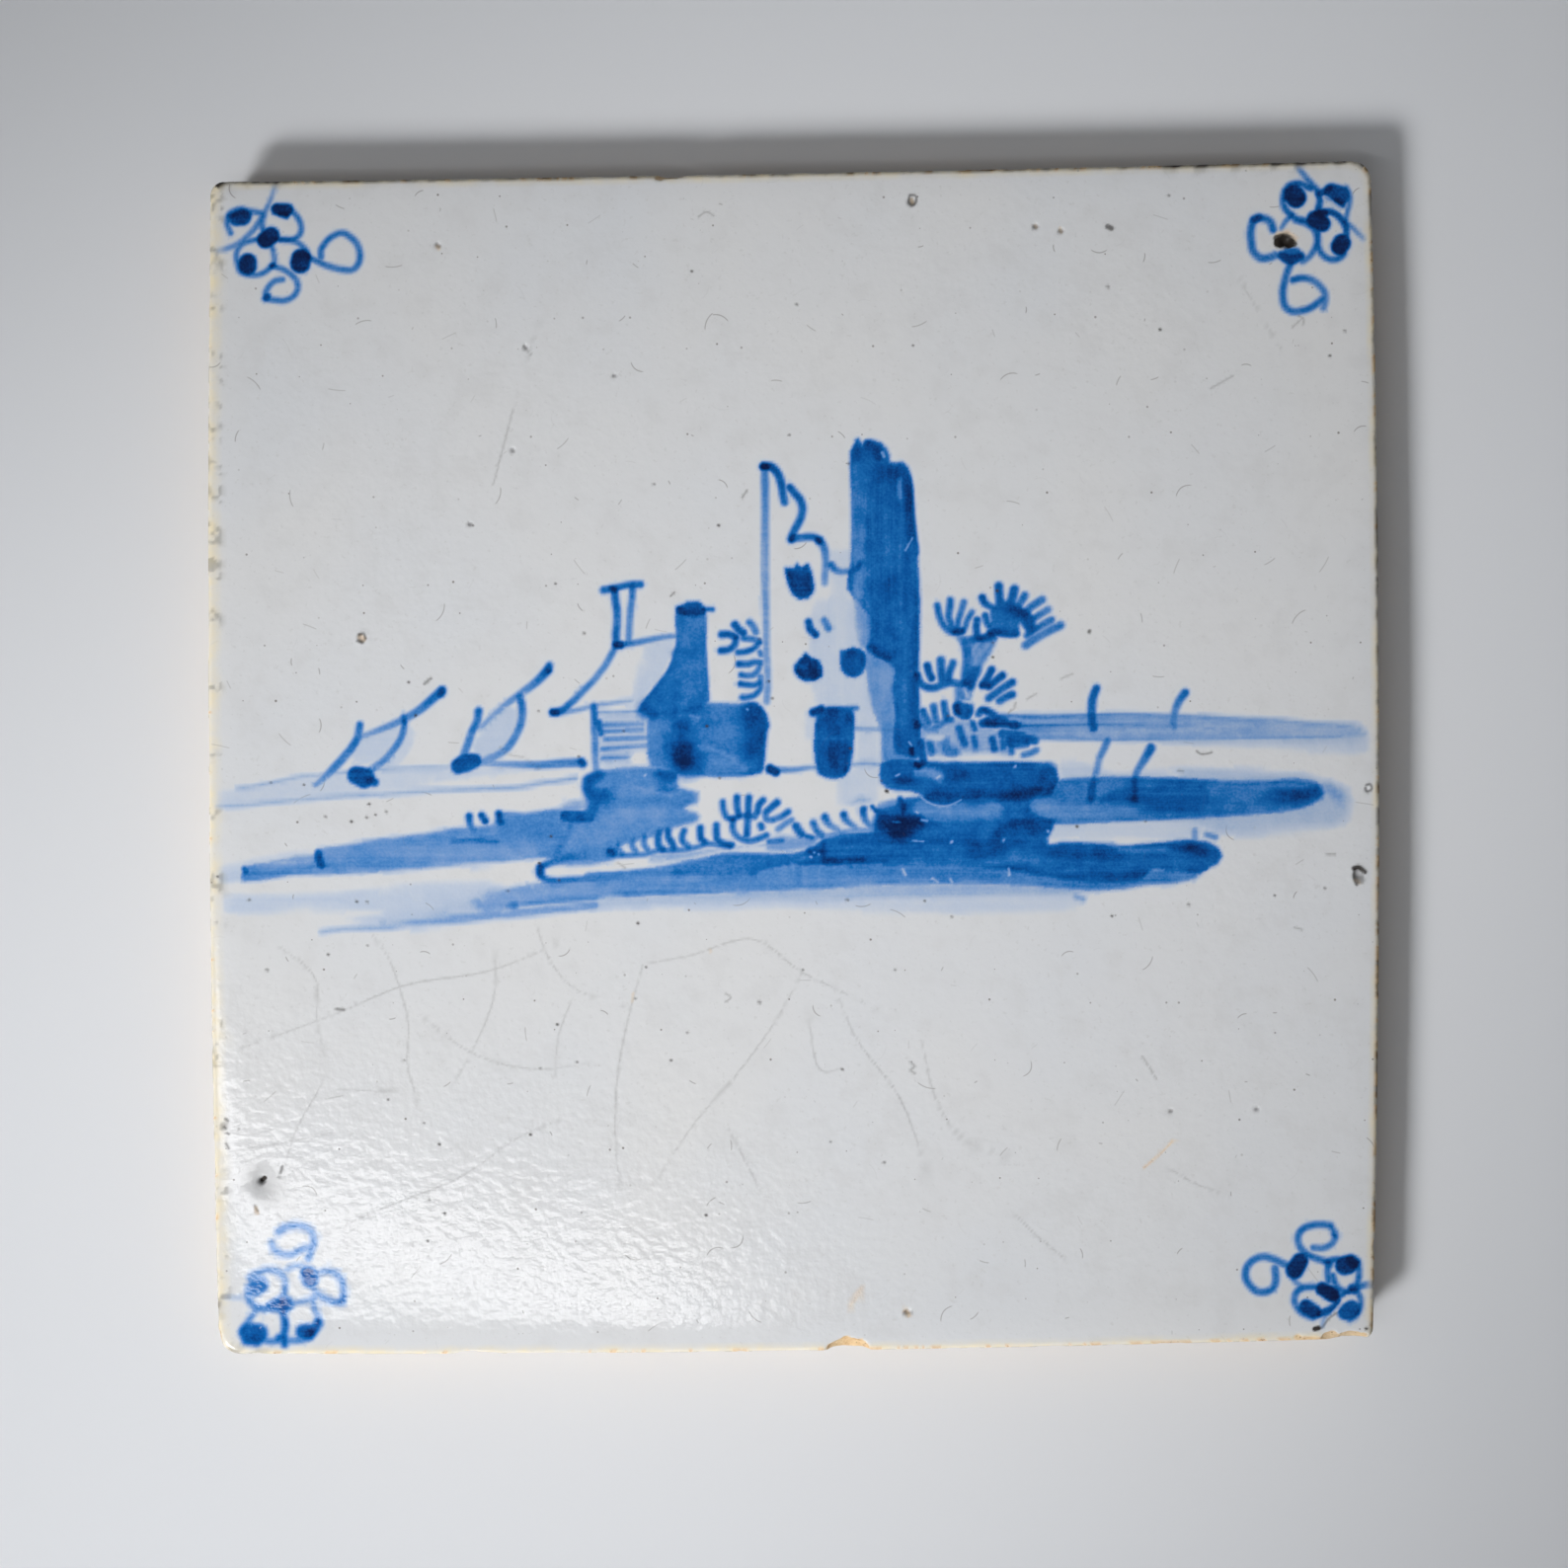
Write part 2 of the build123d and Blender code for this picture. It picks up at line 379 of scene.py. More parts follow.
# The corner at the foot on the right.
foot_right = [
    (1.05, (0.9, 1), (56.7, -56.2), (56.1, -57.2)),
    (1.05, 1.05, (61.7, -56.7), (62.1, -56.6)),
    (0.95, 0.65, (62.4, -56.1), (62.8, -56.4)),
    (1.1, (0.75, 0.85), (59.2, -59.3), (60.3, -59.9)),
    (1, 0.8, (57.4, -61.3), (58.3, -61.9)),
    (0.85, 1, (61.9, -61.8), (62.5, -61.6)),
    (0.62, 0.38, (60.1, -52.2), (59.2, -52.1), (58, -52.2), (57, -52.6), (56.5, -53.3),
     (56.5, -54.1), (56.9, -54.9), (57.6, -55.5), (58.6, -55.9), (59.6, -56.3), (60.1, -56.6)),
    (0.6, 0.35, (60.2, -52.4), (60.7, -53.3), (60.3, -54.2), (59.4, -54.7), (58.2, -54.7)),
    (0.8, 0.22, (60.4, -53.2), (60.55, -53.35)),
    (0.63, 0.4, (53.9, -57), (54, -58), (53.8, -59), (53, -59.6), (52, -59.6), (51.1, -58.9),
     (50.6, -57.9), (50.8, -56.8), (51.6, -56), (52.6, -55.7), (53.8, -56), (54.9, -56.5),
     (55.6, -56.7)),
    (0.65, 0.36, (58.3, -59.05), (57, -59.2), (56.3, -59.7), (56.1, -60.6), (56.5, -61.5),
     (57.3, -62.2), (58.1, -62.5)),
    (0.5, 0.3, (55.9, -57.9), (56.2, -58.5), (56.9, -59)),
    (0.68, 0.35, (59.9, -56.4), (59.8, -57.3), (59.9, -58.4)),
    (0.7, 0.35, (59.6, -56.3), (60.3, -56.1), (61, -56)),
    (0.68, 0.34, (60.4, -57.8), (60.6, -58.6), (61.1, -59.3), (61.8, -59.6), (62.6, -59.4),
     (63.2, -58.5), (63.3, -57.4), (63.2, -56.4)),
    (0.9, 0.42, (62.5, -59.2), (62.8, -59.5)),
    ((0.7, 0.5), 0.38, (63.2, -59.1), (63.9, -58.9), (64.8, -58.8)),
    (0.65, 0.32, (63.1, -59.5), (63.5, -60.5), (63.4, -61.5), (63, -62.3), (62.3, -62.75)),
    (0.85, 0.42, (60.6, -59.9), (60.9, -60.7), (60.3, -61.5), (59.5, -61.9), (58.9, -62.1)),
    (0.7, 0.3, (60.7, -60.3), (61.6, -59.9), (62.4, -59.5)),
    ((0.45, 0.25), 0.25, (59.9, -61.9), (59.4, -62.7), (59.2, -63.5)),
]
# Two huts like drawbridges on the far bank: a spar, two bent legs and a bush each.
huts = [
    (0.12, 1.6, (-47.9, 1), (-46, 1.6), (-44.8, 2.4)),
    (0.1, 0.9, (-42.9, 2.6), (-43.6, 1), (-44.8, -0.4)),
    (0.14, 1.7, (-33.9, 1.2), (-32.8, 2.6), (-31.8, 4)),
    ((0.4, 0.5, 0.75), (0.32, 0.42, 0.5), (-48.3, 2.35), (-46, 3.2), (-43.5, 4.3), (-41.5, 5.5),
     (-40.2, 6.6), (-39.2, 7.5)),
    (0.75, 0.45, (-39.25, 7.2), (-39.1, 7.6)),
    ((0.7, 0.6, 0.55, 0.4), (0.38, 0.45, 0.45, 0.3), (-48.3, 3.7), (-48.5, 2.5), (-49.2, 1.2),
     (-50.2, 0), (-51.4, -1.3), (-52.4, -2.3), (-53.3, -3)),
    ((0.65, 0.55, 0.45), (0.36, 0.42), (-43.4, 4.6), (-43.4, 3.3), (-43.8, 2.1), (-44.6, 0.9),
     (-45.6, -0.2), (-46.8, -1.1), (-47.5, -1.6)),
    (0.75, 0.25, (-43.35, 4.2), (-43.3, 4)),
    (0.85, (1, 1.15), (-48.7, -1.9), (-47.8, -2.2)),
    (0.75, 0.5, (-47.1, -2.5), (-46.7, -2.7)),
    ((0.7, 0.6, 0.5), 0.42, (-35.05, 5.3), (-35.2, 4.2), (-35.8, 2.9), (-36.2, 1.7), (-36.7, 0.4)),
    ((0.36, 0.42, 0.5, 0.75), (0.3, 0.38, 0.5), (-34.9, 3.3), (-33.6, 4.6), (-32, 6), (-30.5, 7.1),
     (-29, 8.2), (-28, 9.1), (-27.3, 9.9)),
    (0.78, 0.42, (-27.3, 9.8), (-27.15, 10.3)),
    ((0.68, 0.6, 0.5, 0.38), 0.42, (-30.5, 6.9), (-30.2, 5.8), (-30.2, 4.6), (-30.5, 3.4),
     (-31.1, 2.2), (-31.8, 1.2), (-32.9, 0.4), (-34.6, -0.4)),
    (0.86, (0.85, 1.05, 0.8), (-37.3, -0.9), (-36.4, -0.5), (-35.5, -0.3)),
]


def smooth_path(points, step, closed=False, tight=0.45):
    """A curve through the points: cubics that leave each point along the line between its
    two neighbours, sampled at a fixed step. It gives the places and their share of the way.
    A closed outline has its slopes cut by the tight share, so that its corners stay corners."""
    p = np.array(points, float)
    if closed:
        p = np.concatenate([p, p[:1]])
    way = np.concatenate([[0], np.cumsum(np.hypot(*np.diff(p, axis=0).T))])
    if closed:
        lapped = np.concatenate([p[-2:-1], p, p[1:2]])
        lapped_way = np.concatenate([[way[-2] - way[-1]], way, [way[-1] + way[1]]])
        slope = np.gradient(lapped, lapped_way, axis=0)[1:-1]
        slope *= tight
    else:
        slope = np.gradient(p, way, axis=0)
    at = np.linspace(0, way[-1], max(int(way[-1] / step), 2) + 1)
    k = np.clip(np.searchsorted(way, at, side="right") - 1, 0, len(way) - 2)
    long = (way[k + 1] - way[k])[:, None]
    t = (at - way[k])[:, None] / long
    place = (
        p[k] * (2 * t**3 - 3 * t**2 + 1) + p[k + 1] * (3 * t**2 - 2 * t**3)
        + slope[k] * long * (t**3 - 2 * t**2 + t) + slope[k + 1] * long * (t**3 - t**2)
    )
    return place, at / way[-1]


def spread(value, share):
    """One value, or several spread evenly along the stroke."""
    value = np.atleast_1d(np.asarray(value, float))
    if len(value) == 1:
        return np.full(len(share), value[0])
    return np.interp(share, np.linspace(0, 1, len(value)), value)


outline_bend = 2.2  # the furthest that the outline takes a place from its square's own grid
bleed_low, bleed_high = -0.9, 0.3  # depths between which paint that bled into the glaze fades
stroke_step, wash_step = 0.11, 0.25  # how far apart a path's samples lie
far_off = 9.0  # the depth or gap of a place that no sample is near to


def window(right, high, margin):
    """The grid's rows and columns that hold some places of the picture, with a margin and with
    room for the outline's bend."""
    least = [np.min(v) - margin - outline_bend for v in (right, high)]
    most = [np.max(v) + margin + outline_bend for v in (right, high)]
    start = [max(int((v + square_half) / cell), 0) for v in least]
    stop = [min(int((v + square_half) / cell) + 2, steps + 1) for v in most]
    return slice(start[1], stop[1]), slice(start[0], stop[0])


def within(part, whole):
    """A slice of the grid as a slice of a larger window that was cut from it."""
    return slice(max(part.start - whole.start, 0), max(part.stop - whole.start, 0))


def brush(canvas, tone, half_width, points, soft=0.55):
    """Lays one stroke on the canvas.

    Its depth at a place is the half width less the distance to the path's nearest sample, and
    the paint fades over the soft edge, with a little bled further into the glaze. Where strokes
    overlap, the tones add up and level off.
    A half width in square brackets is a stroke worked into the wet wash: it has a wide soft
    edge, and draws the wash's tone to its own.
    """
    wet = isinstance(half_width, list)
    path, share = smooth_path(points, stroke_step)
    wide, tones = spread(half_width, share), spread(tone, share)
    soft = 1.5 * wide.max() if wet else soft
    bleed = 0.12 if soft > 0.3 and not wet else 0.0
    margin = wide.max() + max(soft, 8 * bleed)
    rows, columns = window(path[:, 0], path[:, 1], margin)
    depth = np.full(canvas[rows, columns].shape, -far_off)
    nearest = np.zeros(depth.shape, int)
    gx, gy = face_x[rows, columns], face_y[rows, columns]
    for first in range(0, len(path), 24):
        part = slice(first, first + 25)
        px, py, pw = path[part, 0], path[part, 1], wide[part]
        r, c = window(px, py, margin)
        r, c = within(r, rows), within(c, columns)
        gap = pw - np.hypot(gx[r, c, None] - px, gy[r, c, None] - py)
        best = gap.argmax(-1)
        top = np.take_along_axis(gap, best[..., None], -1)[..., 0]
        better = top > depth[r, c]
        depth[r, c] = np.where(better, top, depth[r, c])
        nearest[r, c] = np.where(better, best + first, nearest[r, c])
    body = ease(depth, -soft / 2, soft / 2)
    if wet:
        canvas[rows, columns] += (tones[nearest] - canvas[rows, columns]) * body
        return
    bled = bleed * ease(depth, bleed_low, bleed_high)
    lay(canvas, rows, columns, tones[nearest] * ((1 - bleed) * body + bled))


def lay(canvas, rows, columns, paint):
    """Puts paint on the canvas: the cube root of the sum of cubes, so that tones add up and
    level off. A tone below 0 wipes that share off."""
    old = canvas[rows, columns]
    heaped = (old**3 + np.clip(paint, 0, None) ** 3) ** (1 / 3)
    canvas[rows, columns] = np.where(paint < 0, old * (1 + paint), heaped)


def wash(canvas, tone, going, points, seed):
    """Fills a closed outline with thin paint, drawn across or upright.

    The depth at a place is its distance to the outline's samples. Outside it counts below 0,
    which is where a line to the right crosses the outline an even number of times. Several
    tones are spread along the brush's way, which leaves long soft streaks. The thinner the
    paint is, the further its edge runs.
    """
    soft = np.interp(np.max(tone), (0.14, 0.4, 0.7), (1.3, 1.0, 0.75))
    path, _ = smooth_path(points, wash_step, closed=True)
    rows, columns = window(path[:, 0], path[:, 1], 1.0)
    gx, gy = face_x[rows, columns], face_y[rows, columns]
    inside = np.zeros(gx.shape, bool)
    gap = np.full(gx.shape, far_off)
    for (ax, ay), (bx, by) in zip(path[:-1], path[1:]):
        r = within(window(ax, (ay, by), 0.1)[0], rows)
        crossed = (ay > gy[r]) != (by > gy[r])
        rise = by - ay if by != ay else 1e-9
        inside[r] ^= crossed & (gx[r] < (bx - ax) * (gy[r] - ay) / rise + ax)
    for first in range(0, len(path), 12):
        px, py = path[first:first + 13].T
        r, c = window(px, py, 1.0)
        r, c = within(r, rows), within(c, columns)
        nearest = np.hypot(gx[r, c, None] - px, gy[r, c, None] - py).min(axis=-1)
        gap[r, c] = np.minimum(gap[r, c], nearest)
    depth = np.where(inside, gap, -gap)
    along, over = (gy, gx) if going == "upright" else (gx, gy)
    share = (along - along[inside].min()) / (along[inside].max() - along[inside].min())
    streaks = mottle(over, along / 5, 1.1, seed + 70)
    streaks += 0.7 * mottle(over, along / 4, 2.3, seed + 71)
    paint = spread(tone, share.ravel()).reshape(share.shape)
    paint *= 0.9 * ease(depth, -soft / 2, soft / 2) + 0.1 * ease(depth, bleed_low, bleed_high)
    # A fuller wash dries darker in a line just inside its edge
    dried_edge = 0.03 * np.exp(-(((depth - 0.4) / 0.3) ** 2)) * (paint > 0.2)
    lay(canvas, rows, columns, paint * (1 + 0.2 * (streaks - 0.85)) + dried_edge)
    if going == "upright":
        upright[rows, columns] = np.where(depth > 0, 1, upright[rows, columns])


# The landscape is laid in with thin washes, given by the word for the brush's way and the
# outline that they fill, and then drawn over with strokes. Far water and its low bank, left.
far_water = [
    (0.1, "across", (-64.3, -3.6), (-62, -3.3), (-56, -2.2), (-52, -1.7), (-44, -1.1), (-38.5, -1),
     (-36, -1.9), (-39, -2.6), (-44, -3.6), (-50, -4.3), (-56, -4.7), (-64.3, -5.4)),
    (0.1, "across", (-38.5, -1.5), (-34, -1), (-29, -1.2), (-30, -1.5), (-35, -2.1), (-38, -2.3)),
    (0.28, 0.2, (-62, -3.4), (-59, -2.9), (-56, -2.3), (-54, -1.95), (-52, -1.8), (-48, -1.4),
     (-44, -1.1), (-40, -1), (-38.5, -1)),
    ((0.35, 0.6), (0.33, 0.5), (-34.6, -0.6), (-32, -0.7), (-30, -0.75), (-28, -0.75), (-26, -0.6),
     (-24.5, -0.5), (-23.6, -0.5)),
    (0.8, 0.42, (-23.6, -0.4), (-23.4, -0.65)),
    ((0.27, 0.27, 0.35), 0.22, (-64.3, -5.35), (-62, -5.3), (-60, -5.15), (-58, -4.9), (-56, -4.7),
     (-54, -4.55), (-50, -4.3), (-46, -4.05), (-44, -3.88), (-40, -3.65), (-36, -3.5), (-32, -3.3),
     (-30, -3.1), (-28, -2.8), (-26, -2.5), (-24.2, -2.25)),
]
# The far shore on the right: thin bands with four mooring posts.
far_shore = [
    ((0.4, 0.33, 0.28, 0.22), "across", (22.5, 4.6), (25, 4.95), (30, 4.95), (36, 5), (44, 4.9),
     (52, 4.6), (58, 4.1), (63.6, 3.7), (64.4, 2.4), (60, 1.9), (52, 2.1), (44, 2), (36, 2),
     (30, 2.1), (26.5, 2.4), (24, 3.4)),
    (0.13, "across", (40, 2.2), (50, 2.2), (60, 2.1), (64.3, 2.3), (64.3, 0.8), (60, 0.8),
     (54, 1.1), (47, 1.3), (41, 1.6)),
    ((0.6, 0.5, 0.36, 0.3), (0.24, 0.2), (23.5, 4.75), (27, 4.6), (32, 4.75), (37, 4.85), (43, 4.7),
     (49, 4.4), (55, 4.1), (62, 3.5)),
    ((0.66, 0.55, 0.4, 0.2), (0.3, 0.2, 0.16), (23.5, 3.75), (27, 3.6), (31, 3.75), (36, 3.7),
     (42, 3.6), (49, 3.2), (55, 2.9)),
    ((0.5, 0.42, 0.36, 0.3), (0.22, 0.18), (26.5, 2.3), (31, 2.2), (37, 2.1), (44, 2.1), (51, 2.2),
     (57, 2.3), (63, 2.6)),
    ((0.82, 0.7, 0.78), (0.42, 0.48, 0.5), (33.9, 7.8), (33.5, 6.7), (33.4, 5.4), (33.45, 4.2),
     (33.6, 3.4)),
    ((0.7, 0.55, 0.5), (0.45, 0.38), (43.8, 7.3), (43.1, 6.3), (42.7, 5.2), (42.5, 4), (42.6, 3.4)),
]
# The near shore on the left, in two long strokes of a broad brush and its ragged ends.
near_shore = [
    (0.15, "across", (-64.4, -12.3), (-61.4, -12.2), (-61.5, -13.6), (-64.4, -13.8)),
    (0.1, "across", (-63.5, -11.9), (-60, -11.1), (-54, -10.3), (-53.2, -10.6), (-58, -11.5),
     (-61.5, -12.2)),
    ((0.44, 0.44, 0.47, 0.46, 0.48, 0.5), "across", (-61.4, -12.2), (-58, -11.5), (-55, -11),
     (-53, -10.7), (-52.6, -10.1), (-50, -9.7), (-47, -9.1), (-44, -8.75), (-41, -8.4),
     (-38.5, -7.9), (-37, -7.7), (-35, -7.6), (-33.2, -7.2), (-33, -6.15), (-30, -6.2),
     (-25.7, -5.7), (-24.4, -7), (-25.2, -9.5), (-26.2, -11.2), (-28.5, -11.15), (-32, -11.5),
     (-36, -11.85), (-40, -12.2), (-44, -12.55), (-48, -12.8), (-52, -13), (-56, -13.1),
     (-61.5, -13.6)),
    (0.55, [0.7], (-32.4, -6.9), (-30, -7), (-27, -6.9)),
    (0.54, [0.9], (-32, -8.2), (-29, -8.2), (-26.5, -8.2)),
    (0.38, [0.5], (-39, -10.9), (-34, -10.6), (-29, -10.5)),
    (0.33, [0.4], (-58, -11.9), (-55.5, -11.5), (-53.5, -11.2)),
    (0.75, 0.32, (-61.2, -12.4), (-61, -12.9)),
    (0.55, [0.3], (-61.3, -13.2), (-58, -12.8), (-54, -12.4)),
    (0.8, (0.45, 0.5), (-52.9, -10.6), (-52.9, -11.2), (-52.6, -11.9)),
    (0.6, 0.3, (-38, -9.3), (-36.5, -9.2), (-33, -9.3)),
    ((0.85, 0.5), (0.38, 0.33), (-36.1, -6.5), (-36, -7.3), (-35.8, -7.7), (-35.5, -8)),
    (0.85, 0.38, (-34.7, -6.4), (-34.3, -7)),
    (0.8, 0.38, (-32.8, -6.2), (-32.55, -7.2)),
    (0.82, (0.6, 0.7, 0.5), (-25.4, -6.4), (-24.2, -6.5), (-22.6, -6.6)),
    (0.3, "across", (-26.1, -5.8), (-25.5, -5.1), (-23.8, -4.6), (-22.6, -5.2), (-23.5, -5.7)),
    (0.14, "across", (-63.5, -15.4), (-60, -15.2), (-50, -14.8), (-44, -14.3), (-33, -14),
     (-30, -15), (-36, -16.8), (-44, -17), (-50, -17), (-55, -16.8), (-63.5, -16.9)),
    (0.16, "across", (-50, -18.1), (-47, -17.6), (-42, -17), (-34, -15), (-30, -16), (-35, -17.6),
     (-42.5, -18.6), (-47, -18.7)),
    ((0.33, 0.4, 0.44, 0.5), "across", (-36, -16), (-34, -15), (-31, -14.3), (-29, -14),
     (-27, -13.6), (-22, -13.2), (-17, -13), (-10, -12.6), (-2, -12), (1, -11.9), (0.9, -14.4),
     (-4, -14.9), (-10, -15.1), (-17, -15.4), (-24, -15.9), (-30, -16.6), (-35, -17.1)),
    (0.2, "across", (-42.5, -18.8), (-38, -18.5), (-35, -18.1), (-32, -17.95), (-30, -17.8),
     (-27, -17.4), (-24, -17.1), (-20, -16.9), (-17, -16.8), (-14, -16.6), (-10, -16.4),
     (-7, -16.3), (-4, -16.1), (-1, -16.1), (4, -15.9), (4, -14.4), (-4, -14.6), (-10, -15),
     (-17, -15.3), (-24, -15.8), (-30, -16.5), (-35, -17), (-42, -18)),
    ((0.25, 0.35, 0.4), (0.25, 0.45, 0.4), (-52.7, -19.4), (-50, -19.1), (-46, -18.9),
     (-42.4, -18.4), (-40, -18.2), (-37, -17.9), (-34, -17.6), (-31, -17.3), (-28, -17),
     (-25, -16.7), (-22, -16.4)),
    (0.5, 0.5, (-31.5, -16.4), (-31, -16.4)),
    (0.45, 0.3, (-30, -16.2), (-22, -15.6)),
    (0.8, 0.45, (-28.1, -12.2), (-28.1, -12.8)),
    ((0.45, 0.6, 0.72, 0.6, 0.35, 0.2), (0.45, 0.4, 0.38, 0.45), (-23, -10.9), (-24.5, -11),
     (-26, -11.4), (-27.4, -11.8), (-28.3, -12.4), (-28.1, -13.1), (-27.3, -13.6), (-26.3, -13.7),
     (-25, -13.6), (-23, -13.5), (-18, -13.4)),
    (0.3, "across", (-16, -11.4), (-12, -11.2), (-8, -10.3), (-4, -9.8), (-1, -9.6), (-7, -9.9),
     (-10, -10.2), (-13, -10.6), (-16, -10.9)),
    ((0.38, 0.42, 0.5, 0.6, 0.64, 0.66, 0.66), "across", (-23, -12.9), (-20, -12.7), (-17, -12.4),
     (-14, -11.9), (-12, -11.4), (-10, -11.1), (-8, -10.6), (-2, -10.6), (0, -10.6), (1.2, -10.3),
     (2, -10), (3, -9.3), (3.7, -9), (3.6, -11.8), (0, -12), (-4, -12.6), (-10, -12.9),
     (-16, -13.2), (-23, -13.7)),
    (0.72, [0.45], (-13, -12.6), (-12.2, -12.5)),
    (0.55, [0.3], (-23, -13.2), (-16, -12.7)),
    (0.62, [0.4], (-12, -12.5), (-9, -12.2), (-6, -12.4)),
    (0.7, [0.35], (-4.8, -12.8), (-4.2, -12.8)),
    (0.54, [0.35], (-18.5, -15.1), (-17.3, -15)),
    (0.5, [0.25], (-17, -15), (-13, -15), (-8, -14.7)),
    (0.6, 0.06, (-12, -13.7), (-5.5, -13.3)),
    (0.9, [0.55], (2.1, -10.5), (2.9, -10.6)),
    (0.77, [0.35], (2.5, -11.3), (8, -11.3)),
]
